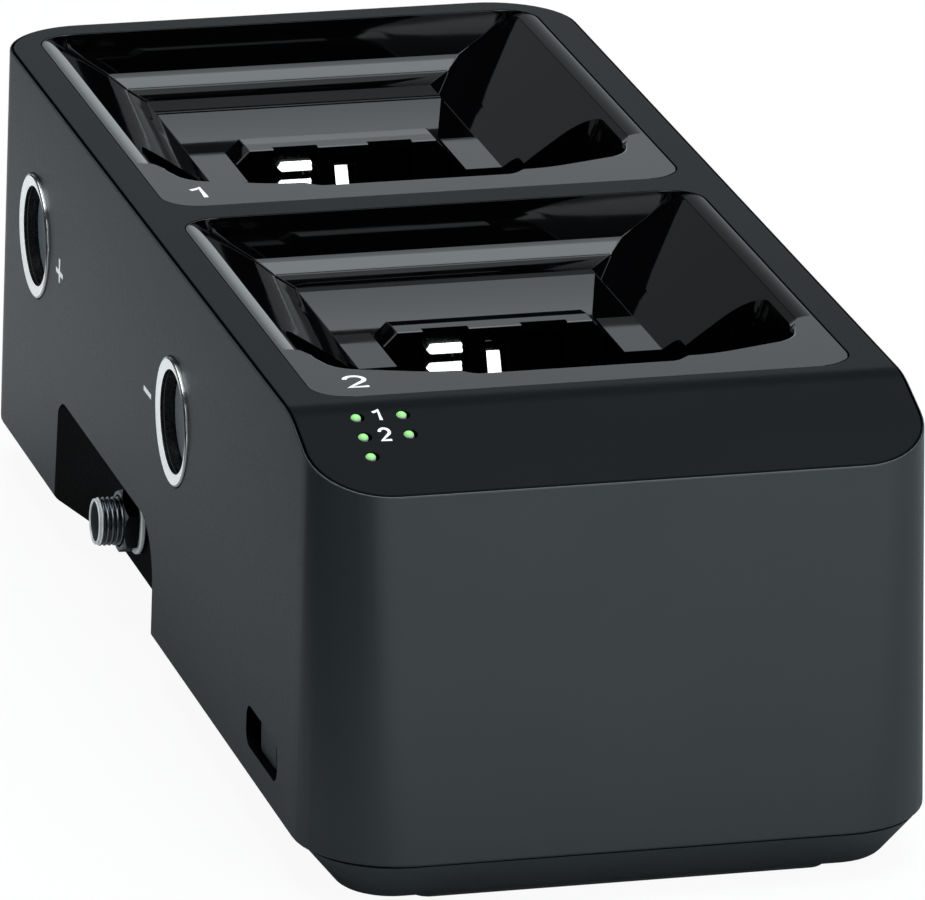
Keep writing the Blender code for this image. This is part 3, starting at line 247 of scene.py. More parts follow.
def turned(profile, turn=None, finish=OUTER, closed=False, steps=TURN_STEPS):
    """A profile of radius and height, spun about the Z axis."""
    bm = bmesh.new()
    points = [bm.verts.new((radius, 0, height)) for radius, height in profile]
    pairs = list(zip(points, points[1:]))
    if closed:
        pairs.append((points[-1], points[0]))
    edges = [bm.edges.new(pair) for pair in pairs]
    bmesh.ops.spin(bm, geom=points + edges, cent=(0, 0, 0), axis=(0, 0, 1), dvec=(0, 0, 0),
                   angle=2 * math.pi, steps=steps, use_merge=True)
    bmesh.ops.remove_doubles(bm, verts=bm.verts[:], dist=WELD)
    return done(bm, turn, finish)


def pillar(radius, low, high):
    """Profile of a plain cylinder, for turned."""
    return [(0, low), (radius, low), (radius, high), (0, high)]


def box(low, high, finish=OUTER):
    """A block between two corners."""
    bm = bmesh.new()
    bmesh.ops.create_cube(bm, size=1.0)
    low, high = Vector(low), Vector(high)
    bmesh.ops.scale(bm, vec=high - low, verts=bm.verts[:])
    bmesh.ops.translate(bm, vec=(low + high) / 2, verts=bm.verts[:])
    return done(bm, None, finish)


def soften(bm, size, segments):
    """Rounds every sharp edge."""
    sharp = [edge for edge in bm.edges if len(edge.link_faces) == 2 and edge.calc_face_angle() > SHARP_ANGLE]
    bmesh.ops.bevel(bm, geom=sharp, offset=size, offset_type="OFFSET", segments=segments, profile=0.5,
                    affect="EDGES", clamp_overlap=True, material=-1)
    return bm


def scratch(bm):
    """A throw-away object for carving, with room for both finishes."""
    mesh = bpy.data.meshes.new("scratch")
    bm.to_mesh(mesh)
    bm.free()
    mesh.materials.append(None)
    mesh.materials.append(None)
    thing = bpy.data.objects.new("scratch", mesh)
    bpy.context.scene.collection.objects.link(thing)
    return thing


def carve(solid, *tools, operation="DIFFERENCE"):
    """Takes the tools out of a solid, or joins them to it."""
    work = scratch(solid)
    cutters = [scratch(bm) for bm in tools]
    for cutter in cutters:
        step = work.modifiers.new("carve", "BOOLEAN")
        step.operation = operation
        step.solver = "EXACT"
        step.object = cutter
    view = bpy.context.evaluated_depsgraph_get()
    mesh = bpy.data.meshes.new_from_object(work.evaluated_get(view))
    result = bmesh.new()
    result.from_mesh(mesh)
    bpy.data.meshes.remove(mesh)
    for thing in [work] + cutters:
        bpy.data.meshes.remove(thing.data)
    bmesh.ops.remove_doubles(result, verts=result.verts[:], dist=WELD)
    return result


def settle(bm, name, finishes, nodes=(), body="charger"):
    """Sets a shape down as a piece of the object: in metres, on its body, for its CAD nodes."""
    bmesh.ops.scale(bm, vec=(MM, MM, MM), verts=bm.verts[:])
    mesh = bpy.data.meshes.new(name)
    bm.to_mesh(mesh)
    bm.free()
    for finish in finishes:
        mesh.materials.append(finish)
    mesh.shade_smooth()
    mesh.set_sharp_from_angle(angle=CREASE_ANGLE)
    piece = bpy.data.objects.new(name, mesh)
    bpy.context.scene.collection.objects.link(piece)
    even = piece.modifiers.new("even_shading", "WEIGHTED_NORMAL")
    even.keep_sharp = True
    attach(piece, body)
    if nodes:
        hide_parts(*nodes)
    return piece


# Rings drawn in (y, z) with their height along X, and in (x, z) with their height along Y
ACROSS = Matrix(((0, 0, 1, 0), (1, 0, 0, 0), (0, 1, 0, 0), (0, 0, 0, 1)))
ALONG = Matrix(((1, 0, 0, 0), (0, 0, 1, 0), (0, 1, 0, 0), (0, 0, 0, 1)))
TO_LEFT = Matrix.Rotation(-math.pi / 2, 4, "Y")
TO_RIGHT = Matrix.Rotation(math.pi / 2, 4, "Y")


def shift(x, y, z):
    return Matrix.Translation((x, y, z))


def rectangle(half_x, half_y, cut_back, middle=(0.0, 0.0)):
    """Corners of a rectangle, each rounded by the same cut-back."""
    x, y = middle
    return [(x - half_x, y - half_y, cut_back), (x + half_x, y - half_y, cut_back),
            (x + half_x, y + half_y, cut_back), (x - half_x, y + half_y, cut_back)]


def quarter(size, steps):
    """Inset and drop of the points of a rounded edge, from its side to its top."""
    angles = [math.pi / 2 * i / steps for i in range(steps + 1)]
    return [(size * (1 - math.cos(a)), size * (1 - math.sin(a))) for a in angles]


# Case walls

RECESS_FRONT, RECESS_BACK = -6.75, 62.85
RECESS_HEIGHT = 17.9
RECESS_PANEL = -44.36       # x of its inner wall, at the walls' foot
RECESS_RUNOUT = 24.0        # its rear part slants out over this length
RECESS_INSET = 5.3          # by this much
RECESS_WALL = 2.0
RECESS_REAR_CORNER, RECESS_FRONT_CORNER = 6.5, 9.5
RECESS_REACH = (-70.0, -20.0)   # from outside the wall to inside the case
RECESS_UNDER = 3.0          # how far its cutter runs below the walls
SQUARE = 0.01               # cut-back of a corner that stays square
FOOT_EDGE = 0.45            # rounding of the walls' lower edge
JACK_TILT = math.radians(2.0)
LINK_ROWS = (81.0, -17.5)   # y of the rear link and of the front one
LINK_Z = 47.1
RING_OUTER, RING_BORE = 10.4, 8.25
PAD_RADIUS = 7.8
RING_PLAY, PAD_PLAY = 0.12, 0.2
LINK_REACH = (-7.0, 3.0)    # a link's hole, from inside the wall's face to outside it
SWITCH_Y, SWITCH_Z = -80.2, 15.8
SLOT_HALF_LENGTH, SLOT_HALF_WIDTH, SLOT_CORNER = 10.0, 3.3, 2.4
SLOT_REACH = (-60.0, -40.0)
COARSE_STEP, FINE_STEP = 4.0, 0.5    # slices of the slope, and of the bend where it begins


def wall_half(height):
    """Half the case's width at a height."""
    return HALF_WIDTH + DRAFT * (TOP - height)


def case_ring(height, inset=0.0, ahead=0.0, bent=False):
    """The case's outline at a height; a bent one is lowered along the front slope afterwards."""
    lean = DRAFT * (TOP - height) - inset
    half, rear, corner = HALF_WIDTH + lean, HALF_LENGTH + lean - ahead, CORNER + lean
    low = height - FRONT_FALL if bent else height
    low_lean = DRAFT * (TOP - low) - inset
    share = (low - FOOT) / (TOP - FOOT)
    front = FRONT_HALF + low_lean + ahead - FRONT_LEAN * share
    front_corner = FRONT_CORNER + low_lean + FRONT_GROWTH * (1 - share)
    return [(-half, -front, front_corner), (half, -front, front_corner), (half, rear, corner),
            (-half, rear, corner)], height


def slope_drop(y):
    """How far the bezel's face lies below its flat part, at y."""
    ahead = SLOPE_START - y
    if ahead <= -BEND:
        return 0.0
    if ahead >= BEND:
        return SLOPE_FALL * ahead
    return SLOPE_FALL * (ahead + BEND) ** 2 / (4 * BEND)


def slope_tilt(y):
    """Drop per millimetre of the bezel's face at y."""
    return SLOPE_FALL * min(max((SLOPE_START - y + BEND) / (2 * BEND), 0.0), 1.0)


def recess_form(grow):
    """The cable recess, or its housing: a notch whose inner wall leans and runs out to the rear."""
    floor = FOOT if grow else FOOT - RECESS_UNDER
    ceiling = FOOT + RECESS_HEIGHT + grow
    front, back = RECESS_FRONT - grow, RECESS_BACK + grow
    outline = [(front, floor, SQUARE), (back, floor, SQUARE), (back, ceiling, RECESS_REAR_CORNER + grow),
               (front, ceiling, RECESS_FRONT_CORNER + grow)]
    bm = loft([(outline, x) for x in RECESS_REACH], ACROSS)
    lean = Vector((math.cos(JACK_TILT), 0, -math.sin(JACK_TILT)))
    runout = Vector((RECESS_RUNOUT, RECESS_INSET, 0)).normalized()
    planes = [(Vector((RECESS_PANEL, 0, FOOT)) + lean * grow, lean),
              (Vector((RECESS_PANEL, RECESS_BACK - RECESS_RUNOUT, 0)) + runout * grow, runout)]
    if grow:
        planes.append((Vector((-wall_half(FOOT) + WALL / 2, 0, 0)), Vector((-1, 0, 0))))
    for point, normal in planes:
        cut = bmesh.ops.bisect_plane(bm, geom=bm.verts[:] + bm.edges[:] + bm.faces[:], plane_co=point,
                                     plane_no=normal, clear_outer=True)["geom_cut"]
        bmesh.ops.contextual_create(bm, geom=[g for g in cut if isinstance(g, bmesh.types.BMEdge)])
    return done(bm, None, INNER)


def follow_slope(bm, above):
    """Bends what lies above a height down along the front slope."""
    y = -HALF_LENGTH - 2.0
    while y < SLOPE_START + BEND + 1.0:
        bmesh.ops.bisect_plane(bm, geom=bm.verts[:] + bm.edges[:] + bm.faces[:],
                               plane_co=(0, y, 0), plane_no=(0, 1, 0))
        y += COARSE_STEP if y < SLOPE_START - BEND - COARSE_STEP else FINE_STEP
    for vert in bm.verts:
        if vert.co.z > above:
            vert.co.z -= slope_drop(vert.co.y)


def make_walls():
    rings = [case_ring(FOOT + drop, inset) for inset, drop in reversed(quarter(FOOT_EDGE, 3))]
    rings += [case_ring(TOP - SEAM - drop, inset, bent=True) for inset, drop in quarter(RIM, 4)]
    walls = loft(rings)
    follow_slope(walls, TOP / 2)
    hollow = loft([case_ring(height, WALL) for height in (FOOT - 1.0, TOP + PAST)], finish=INNER)
    groove = TOP - SEAM - SEAM_DEPTH
    rebate = loft([case_ring(height, RIM, bent=True) for height in (groove, TOP + PAST)], finish=INNER)
    follow_slope(rebate, 0.0)
    walls = carve(walls, hollow, rebate)
    walls = carve(walls, recess_form(RECESS_WALL), operation="UNION")
    tools = [recess_form(0.0), turned(pillar(JACK_HOLE, *JACK_HOLE_REACH), jack_axis(), INNER)]
    low, high = [wall_half(LINK_Z) + reach for reach in LINK_REACH]
    for y in LINK_ROWS:
        place = shift(0, y, LINK_Z)
        tools.append(turned(pillar(RING_OUTER + RING_PLAY, low, high), place @ TO_LEFT, INNER))
        tools.append(turned(pillar(PAD_RADIUS + PAD_PLAY, low, high), place @ TO_RIGHT, INNER))
    slot = rectangle(SLOT_HALF_LENGTH, SLOT_HALF_WIDTH, SLOT_CORNER, (SWITCH_Y, SWITCH_Z))
    tools.append(loft([(slot, x) for x in SLOT_REACH], ACROSS, INNER))
    # Everything cut into the walls, the cable recess and its housing among them, is painted near-black as
    # shade.
    settle(carve(walls, *tools), "case_walls", (case_abs, dull_nylon_and_painted_shade), ("case_shell",))


# Bezel

LIGHT_FIRST = (-38.6, -92.45)
LIGHT_PITCH = (7.1, 4.7)
LIGHT_GRID = ((0, 0), (1, 0), (0, 1), (1, 1), (0, 2))
LENS_RADIUS = 0.82
LENS_RISE = 0.62
LENS_SUNK = 0.2
LENS_CORE = 0.75
LENS_HOLE = 1.06
LENS_LENGTH = 9.5
LENS_TURNS = (0, 0.3, 0.6, 0.9, 1.2, 1.42)    # points of the dome, in radians from its top
HOLE_SHIFT = 0.25           # the lenses stand to the left in their holes
HOLE_BREAK = 0.12           # broken edge of a lens's hole
HOLE_DEPTH = 8.0
# height and widening of a mouth's edge
MOUTH_ROWS = ((-6.0, 0.0), (-0.06, 0.0), (0.0, 0.04), (1.0, 0.04))


def on_slope(x, y):
    """A place on the bezel's front slope, with its local Z square to the face."""
    return shift(x, y, TOP - slope_drop(y)) @ Matrix.Rotation(math.atan(slope_tilt(y)), 4, "X")


def light_places():
    """Where the five lights stand on the slope."""
    return [on_slope(LIGHT_FIRST[0] + column * LIGHT_PITCH[0], LIGHT_FIRST[1] - row * LIGHT_PITCH[1])
            for column, row in LIGHT_GRID]


def make_bezel():
    inside = WALL + GAP
    underside = TOP - SEAM - SEAM_DEPTH + SEAM_GAP
    edge = RIM + SEAM_WIDTH
    rings = [case_ring(TOP - BEZEL_DEPTH, inside, bent=True), case_ring(underside, inside, bent=True),
             case_ring(underside, edge, SEAM_SHIFT, True)]
    rings += [case_ring(TOP - drop, edge + inset, SEAM_SHIFT, True) for inset, drop in quarter(EDGE, 3)]
    plate = loft(rings)
    mouths = []
    for bay, front in BAY_FRONTS.items():
        half_length = (BAY_LENGTH + BAY_EXTRA[bay]) / 2
        middle = (0, front + half_length)
        rows = [(rectangle(BAY_HALF + out, half_length + out, BAY_CORNER + out, middle), TOP + z)
                for z, out in MOUTH_ROWS]
        mouths.append(loft(rows, finish=INNER))
    plate = carve(plate, *mouths)
    follow_slope(plate, 0.0)
    mouth = LENS_HOLE + HOLE_BREAK
    hole = [(0, -HOLE_DEPTH), (LENS_HOLE, -HOLE_DEPTH), (LENS_HOLE, -HOLE_BREAK), (mouth, 0.02),
            (mouth, 1), (0, 1)]
    aside = shift(HOLE_SHIFT, 0, 0)
    holes = [turned(hole, place @ aside, INNER, steps=SMALL_STEPS) for place in light_places()]
    # The bezel's mouths and the holes round its lights are painted near-black as shade.
    settle(carve(plate, *holes), "bezel_plate", (bezel_abs, dull_nylon_and_painted_shade), ("top_bezel",))


def make_lenses():
    dome = [(LENS_RADIUS * math.sin(turn), LENS_RISE * math.cos(turn) - LENS_SUNK) for turn in LENS_TURNS]
    dome += [(LENS_RADIUS, 0.02 - LENS_SUNK), (LENS_RADIUS, -LENS_LENGTH), (0, -LENS_LENGTH)]
    for number, place in enumerate(light_places(), 1):
        lens = turned(dome, steps=SMALL_STEPS)
        for face in lens.faces:
            if face.calc_center_median().xy.length > LENS_CORE:
                face.material_index = INNER
        bmesh.ops.transform(lens, matrix=place, verts=lens.verts[:])
        settle(lens, f"light_lens_{number}", (green_lens_painted_glow, clear_rim),
               (f"light_pipe_{number}",))


# Wells

LIP = 7.2                   # lip at the middle of the mouth
LIP_SIDE = 9.3              # and beside its recess
LIP_RECESS_HALF = 17.0
GROOVE = 0.2                # between a well and the bezel
GROOVE_SHIFT = 0.1          # the wells stand to the left and the front in their mouths
RIM_OUTER = 42.15           # where the mouth's rolled side begins
RIM_END = 24.25             # and where the flat lip stops it
WELL_BACK = 92.9            # outside of its rear wall
HOPPER_FLOOR = 11.2
PLATFORM_HALF = 24.5
CHANNEL_HALF = 27.1
CHANNEL_FRONT, CHANNEL_BACK = 13.0, 45.6
# depth, half width, back wall and cut-back of the rear corner
HOPPER_ROWS = (
    (-1.0, 40.0, 91.3, 4.4), (0.0, 40.0, 91.3, 4.4), (0.67, 39.98, 91.2, 3.2),
    (2.2, 37.73, 91.05, 1.4), (4.2, 34.8, 90.9, 0.6), (7.1, 30.45, 90.8, 0.4),
    (8.7, 28.15, 88.13, 0.4), (8.85, 27.95, 87.93, 0.4), (8.97, 27.8, 87.83, 0.4),
    (9.1, 27.6, 87.77, 0.4), (9.4, 27.2, 87.69, 0.4), (10.0, 26.3, 87.55, 0.4),
    (10.6, 25.4, 87.43, 0.4), (11.0, 24.8, 87.37, 0.4), (HOPPER_FLOOR, PLATFORM_HALF, 87.35, 0.4))
# y, half width and depth of the trough's floor, from the contact block back
TROUGH_ROWS = ((62.75, 20.5, 16.7), (76.0, 21.5, 14.95), (85.2, 24.4, 11.22))
# height and easing of the lip's edge
LIP_ROWS = ((1.0, 0.36), (0.0, 0.36), (-0.03, 0.22), (-0.11, 0.1), (-0.22, 0.03), (-0.36, 0.0),
            (-4.0, 0.0))
# height and narrowing of the well's own edge, inside the mouth
WELL_ROWS = ((-4.8, 0.0), (-0.06, 0.0), (0.0, 0.04))
BODY_HALF, TROUGH_HALF, CHANNEL_OUTER = 41.5, 27.0, 32.2    # half widths of the well's parts, outside
CHANNEL_CORNER = 1.3
CHANNEL_FLOOR = -30.0
SEAT_HALF, SEAT_BACK = 18.4, 63.05    # room for the contact block


def mirrored(right):
    """A ring from its right half, front to rear."""
    return right + [(-x, y, cut_back) for x, y, cut_back in reversed(right)]


def hopper_ring(depth, half, back, corner, extra):
    """The hopper's outline at a depth, narrowed at its front."""
    right = [(half - 1.8, 20.0, 0.4), (half, RIM_END, 1.0), (half, back + extra, corner)]
    return mirrored(right), -depth


def trough_ring(y, half, depth):
    """The trough behind the contacts, cut across: its sides lean in from the hopper's floor."""
    right = [(half, -depth), (PLATFORM_HALF, -HOPPER_FLOOR + 0.2), (PLATFORM_HALF, -5.0)]
    return mirrored([(x, z, 0.05) for x, z in right]), y


def lip_ring(height, ease):
    """The mouth inside the lip: a step at the middle, then sides that sweep back."""
    recess = LIP_RECESS_HALF
    right = [(recess - 1.0, LIP - ease, 0.9), (recess + 1.3, LIP_SIDE - ease, 0.2),
             (22.5, LIP_SIDE + 0.1 - ease, 3.0), (36.4 + ease, 13.9 - ease, 3.0),
             (38.4 + ease, 20.4, 1.0), (38.0, 30.0, 0.1)]
    return mirrored(right), height


def sided(side, corners):
    """Corners drawn for the right side, set on either side."""
    return [(side * across, other, cut_back) for across, other, cut_back in corners]


def thumb_pocket(side):
    """The pocket in the hopper's side wall, beside the channel."""
    low = [(20.0, 17.0, 0.1), (33.3, 17.0, 0.1), (35.0, 20.2, 0.6), (36.4, RIM_END, 1.0),
           (36.4, 41.4, 2.5), (20.0, 41.4, 0.1)]
    top = [(20.0, 17.0, 0.1), (36.3, 17.0, 0.1), (38.2, 20.2, 0.6), (39.6, RIM_END, 1.5),
           (39.6, 42.3, 6.5), (20.0, 42.3, 0.1)]
    return loft([(sided(side, low), -12.0), (sided(side, top), 1.0)])


def rolled_side(side, extra):
    """What the rolled side of the mouth leaves free, ended by the flat lip."""
    roll = [(37.0, 1.0, 0.05), (RIM_OUTER, 1.0, 0.05), (RIM_OUTER, -0.005, 0.02), (40.55, -0.06, 1.55),
            (37.0, -2.5, 0.05)]
    plan = [(37.2, 17.5, 0.1), (39.5, RIM_END, 2.3), (RIM_OUTER, RIM_END, 0.1),
            (RIM_OUTER, 91.0 + extra, 4.6), (37.2, 91.0 + extra, 0.1)]
    solid = loft([(sided(side, roll), y) for y in (15.0, 93.0 + extra)], ALONG)
    return carve(solid, loft([(sided(side, plan), z) for z in (-4.0, 3.0)]), operation="INTERSECT")


def well_body(extra):
    """The well before it is hollowed: its rim, and its parts below the bezel."""
    half_length = (BAY_LENGTH + extra) / 2
    middle = (-GROOVE_SHIFT, half_length - GROOVE_SHIFT)
    rim = []
    for z, cut in WELL_ROWS:
        inset = GROOVE + cut
        rim.append((rectangle(BAY_HALF - inset, half_length - inset, BAY_CORNER - GROOVE, middle), z))
    return carve(loft(rim), box((-BODY_HALF, 2.0, -14.0), (BODY_HALF, WELL_BACK + extra, -4.0)),
                 box((-TROUGH_HALF, 58.0, -19.0), (TROUGH_HALF, 89.0, -13.0)),
                 box((-CHANNEL_OUTER, 5.0, -32.2), (CHANNEL_OUTER, 65.0, -4.2)), operation="UNION")


def make_well(bay):
    extra = BAY_EXTRA[bay]
    channel = rectangle(CHANNEL_HALF, (CHANNEL_BACK - CHANNEL_FRONT) / 2, CHANNEL_CORNER,
                        (0, (CHANNEL_FRONT + CHANNEL_BACK) / 2))
    undercut = rectangle(LIP_RECESS_HALF - 1.0, 19.0, 0.9, (0, 26.2))
    tools = [loft([hopper_ring(*row, extra) for row in HOPPER_ROWS]),
             loft([lip_ring(*row) for row in LIP_ROWS]),
             loft([trough_ring(*row) for row in TROUGH_ROWS], ALONG),
             loft([(channel, CHANNEL_FLOOR), (channel, -3.7)]),
             loft([(undercut, CHANNEL_FLOOR), (undercut, -0.9)]),
             box((-SEAT_HALF, 44.0, CHANNEL_FLOOR), (SEAT_HALF, SEAT_BACK, -8.0))]
    for side in (-1, 1):
        tools.append(thumb_pocket(side))
        tools.append(rolled_side(side, extra))
    well = carve(well_body(extra), *tools)
    bmesh.ops.translate(well, vec=(0, BAY_FRONTS[bay], TOP), verts=well.verts[:])
    settle(well, f"bay_{bay}_hopper", (gloss_abs,), (f"bay_{bay}_well",))


# Contacts

BLOCK_HALF, BLOCK_FOOT_HALF = 15.9, 18.1
BLOCK_TOP, BLOCK_FOOT = -9.0, -29.7    # below the bezel's face
BLOCK_CHAMFER = 2.2
BLOCK_FLAT = 59.1           # behind this its top falls to the rear
BLOCK_FALL = {1: 0.08, 2: 0.5}
BLOCK_EDGE = 0.12
# y and rounding inset of the block, from front to rear
BLOCK_ROWS = ((55.5, 0.3), (55.56, 0.12), (55.75, 0.0), (58.9, 0.0), (BLOCK_FLAT, 0.0), (62.6, 0.0),
              (62.75, 0.15))
SLOT_X = 8.0
SLOT_HALF = 3.75
SLOT_FRONT, SLOT_MOUTH_BACK, SLOT_BACK = 54.0, 56.8, 60.1
SLOT_FOOT, SLOT_TOP, SLOT_MOUTH_TOP = -24.0, -10.6, -5.0
BLADE_SLOT_SIDES, BLADE_SLOT_TOP = (-1.6, 1.9), -11.2
RIB_REACH = (55.3, 60.4)
SLANT = math.tan(math.radians(24.0))    # the contacts lean back at the top
LEAF_EDGE = 0.14
PAD_X, PAD_HALF = -8.3, 3.05
PAD_DEPTHS = {"upper": 12.0, "lower": 15.0}
PAD_RISE = 0.78
PAD_REACH = (55.1, 58.3)
BLADE_X, BLADE_HALF = 0.24, 1.2
BLADE_TOP = {1: 12.95, 2: 13.5}
BLADE_FOOT, BLADE_MIDDLE = 19.8, 16.5
BLADE_REACH = (56.2, 57.1)


def block_ring(y, inset, fall):
    """The contact block, cut across: upright sides, chamfered at the top."""
    top = BLOCK_TOP - inset - (fall if y > BLOCK_FLAT else 0.0)
    side = BLOCK_FOOT_HALF - inset
    right = [(side, BLOCK_FOOT), (side, top - BLOCK_CHAMFER), (BLOCK_HALF - inset, top)]
    return mirrored([(x, z, BLOCK_EDGE) for x, z in right]), y


def leaf(outline, reach, depth, home):
    """A contact of a given outline across the bay, sheared so that its face looks up a little."""
    lean = Matrix(((1, 0, 0, 0), (0, 1, SLANT, SLANT * depth), (0, 0, 1, 0), (0, 0, 0, 1)))
    bm = soften(loft([(outline, y) for y in reach], ALONG), LEAF_EDGE, 3)
    return done(bm, home @ lean)


def make_block(bay, home):
    block = loft([block_ring(*row, BLOCK_FALL[bay]) for row in BLOCK_ROWS], ALONG)
    tools = []
    for side in (-1, 1):
        left, right = side * SLOT_X - SLOT_HALF, side * SLOT_X + SLOT_HALF
        tools.append(box((left, SLOT_FRONT, SLOT_FOOT), (right, SLOT_MOUTH_BACK, SLOT_MOUTH_TOP)))
        tools.append(box((left, SLOT_FRONT, SLOT_FOOT), (right, SLOT_BACK, SLOT_TOP)))
    left, right = BLADE_SLOT_SIDES
    tools.append(box((left, SLOT_FRONT, SLOT_FOOT), (right, SLOT_BACK, BLADE_SLOT_TOP)))
    block = carve(block, *tools)
    rib = [(-11.8, -13.35, 0.3), (-11.3, -13.9, 0.3), (-5.3, -13.9, 0.3), (-4.8, -13.35, 0.3),
           (-5.5, -13.55, 0.2), (-11.1, -13.55, 0.2)]
    block = carve(block, loft([(rib, y) for y in RIB_REACH], ALONG), operation="UNION")
    bmesh.ops.transform(block, matrix=home, verts=block.verts[:])
    settle(block, f"bay_{bay}_block", (gloss_abs,), (f"bay_{bay}_contact_block",))


def make_contacts(bay):
    home = shift(0, BAY_FRONTS[bay], TOP)
    make_block(bay, home)
    for word, depth in PAD_DEPTHS.items():
        low, high = -depth - PAD_RISE, -depth + PAD_RISE
        left, right = PAD_X - PAD_HALF, PAD_X + PAD_HALF
        pill = [(left, -depth, 0.2), (left + 0.75, low, 0.3), (right - 0.1, low, 0.2),
                (right, -depth - 0.3, 0.15), (right - 0.12, -depth, 0.1), (right, -depth + 0.3, 0.15),
                (right - 0.1, high, 0.2), (left + 0.75, high, 0.3)]
        node = f"bay_{bay}_{word}_contact"
        pad = leaf(pill, PAD_REACH, depth, home)
        settle(pad, f"bay_{bay}_{word}_pad", (silver,), (node,), node)
    left, right = BLADE_X - BLADE_HALF, BLADE_X + BLADE_HALF
    low, high = -BLADE_FOOT, -BLADE_TOP[bay]
    outline = [(x, z, 0.2) for x, z in ((left, low), (right, low), (right, high), (left, high))]
    node = f"bay_{bay}_blade_contact"
    blade = leaf(outline, BLADE_REACH, BLADE_MIDDLE, home)
    settle(blade, f"bay_{bay}_blade", (silver,), (node,), node)


# Links to a neighbouring charger

COLLAR_BORE = 0.45          # the collar's own bore, above its black sleeve
COLLAR_TAIL = 2.6           # the collar reaches this far into the wall
COLLAR_RISE = 0.5           # and stands out by this
COLLAR_DISH = 0.38          # its face falls this much towards the bore
COLLAR_EDGE = 0.4           # rounding of its outer edge
SLEEVE = 0.45
CUP_TOP = 0.05              # clearance between the cup and the collar
CUP_SEAT, CUP_DEPTH = 2.9, 5.2    # the cup's flange below the wall's face, and its depth below that
PLATE_DEPTH = 2.1           # face of the plate, below the wall
PLATE_RADIUS, PLATE_FOOT = 7.9, 5.9
PAD_FLANGE, PAD_FLANGE_DEPTH = 10.0, 1.5
SHADED = 2                  # third finish of a collar, inside its bore: black, painted shade


def link_collar(face):
    """A plated collar round a link: painted bright with a glow on its face, painted black for shade in its
    bore.
    """
    sleeve = RING_BORE + SLEEVE
    top = face + COLLAR_RISE
    ring = [(RING_BORE, face - COLLAR_BORE), (sleeve, face - COLLAR_BORE), (sleeve, face - COLLAR_TAIL),
            (RING_OUTER, face - COLLAR_TAIL), (RING_OUTER, face + 0.15), (RING_OUTER - 0.12, face + 0.38),
            (RING_OUTER - COLLAR_EDGE, top), (RING_BORE + 0.1, top - COLLAR_DISH), (RING_BORE, face)]
    collar = turned(ring, closed=True)
    # Its face takes the glowing near-white plate, painted light; the bore takes black, painted shade.
    for part in collar.faces:
        middle = part.calc_center_median()
        if middle.xy.length > RING_OUTER - COLLAR_EDGE or middle.z < face - 1:
            part.material_index = INNER
        elif middle.xy.length < RING_BORE + 0.08:
            part.material_index = SHADED
    return collar


def make_links():
    face = wall_half(LINK_Z)
    seat = face - CUP_SEAT
    back = seat - CUP_DEPTH
    top = face - COLLAR_BORE - CUP_TOP
    sleeve = RING_BORE + SLEEVE - 0.05
    flange = RING_OUTER + 0.6
    cup = [(0, back + 1.4), (RING_BORE - 0.9, back + 1.4), (RING_BORE - 0.5, back + 1.7),
           (RING_BORE, back + 2.4), (RING_BORE, top), (sleeve, top), (sleeve, seat), (flange, seat),
           (flange, back), (0, back)]
    low, high = back + 1.7, face - PLATE_DEPTH
    plate = [(0, high), (PLATE_RADIUS - 0.4, high), (PLATE_RADIUS - 0.1, high - 0.1),
             (PLATE_RADIUS, high - 0.4), (PLATE_RADIUS, low + 1.0), (PLATE_FOOT, low + 0.7),
             (PLATE_FOOT, low), (0, low)]
    pad = [(0, face + 0.6), (7.2, face + 0.6), (7.6, face + 0.5), (PAD_RADIUS, face + 0.2),
           (PAD_RADIUS, seat), (PAD_FLANGE, seat), (PAD_FLANGE, seat - PAD_FLANGE_DEPTH),
           (0, seat - PAD_FLANGE_DEPTH)]
    for row, y in enumerate(LINK_ROWS, 1):
        left = shift(0, y, LINK_Z) @ TO_LEFT
        right = shift(0, y, LINK_Z) @ TO_RIGHT
        collar = link_collar(face)
        bmesh.ops.transform(collar, matrix=left, verts=collar.verts[:])
        settle(collar, f"link_collar_{row}", (collar_nickel_painted_glow, nickel, cup_abs_and_painted_shade),
               (f"link_ring_{row}",))
        settle(turned(cup, left), f"link_socket_cup_{row}", (cup_abs_and_painted_shade,), (f"link_cup_{row}",))
        settle(turned(plate, left), f"link_plate_{row}", (plate_grey,), (f"link_disc_{row}",))
        settle(turned(pad, right), f"link_contact_{row}", (nickel,), (f"link_pad_{row}",))


# Supply jack

JACK_HEIGHT = 8.4           # above the walls' foot
JACK_PLACE = (RECESS_PANEL + JACK_HEIGHT * math.tan(JACK_TILT), 24.95, FOOT + JACK_HEIGHT)
JACK_RADIUS, JACK_BORE, JACK_REACH = 3.95, 3.25, 7.6
JACK_HOLE = 4.25
JACK_HOLE_REACH = (-8, 2)
JACK_ROOT, JACK_FLOOR = -3.3, -2.3    # rear end of the barrel, and bottom of its bore
PIN_HOLE = 1.3
THREAD_PITCH, THREAD_DEPTH = 0.8, 0.3
THREAD_END = 0.9            # the thread stops this far above the panel
# one turn of the thread: depth below its crest, and distance along the barrel
THREAD_ROWS = ((0.08, 0.0), (0.0, 0.1), (0.0, 0.22), (0.08, 0.32), (THREAD_DEPTH, 0.5), (THREAD_DEPTH, 0.64))
WASHER_OUTER, WASHER_LOW, WASHER_HIGH = 5.5, 0.3, 1.1
NUT_ACROSS, NUT_THICKNESS = 9.6, 2.2
NUT_MIDDLE = 2.5            # above the panel
NUT_TURN = math.radians(25.0)
PIN_RADIUS, PIN_TOP, PIN_ROOT = 1.0, 5.6, -5.4
BORE = 2                    # third finish of the barrel: the darker plate inside the bore, painted shade
RIM_PAINTED_HIGHLIGHT = 0.55           # end of the barrel that takes the nearly white plate: a painted highlight


def jack_axis():
    """The jack's place on its leaning panel, with its local Z pointing out."""
    return shift(*JACK_PLACE) @ Matrix.Rotation(-math.pi / 2 + JACK_TILT, 4, "Y")


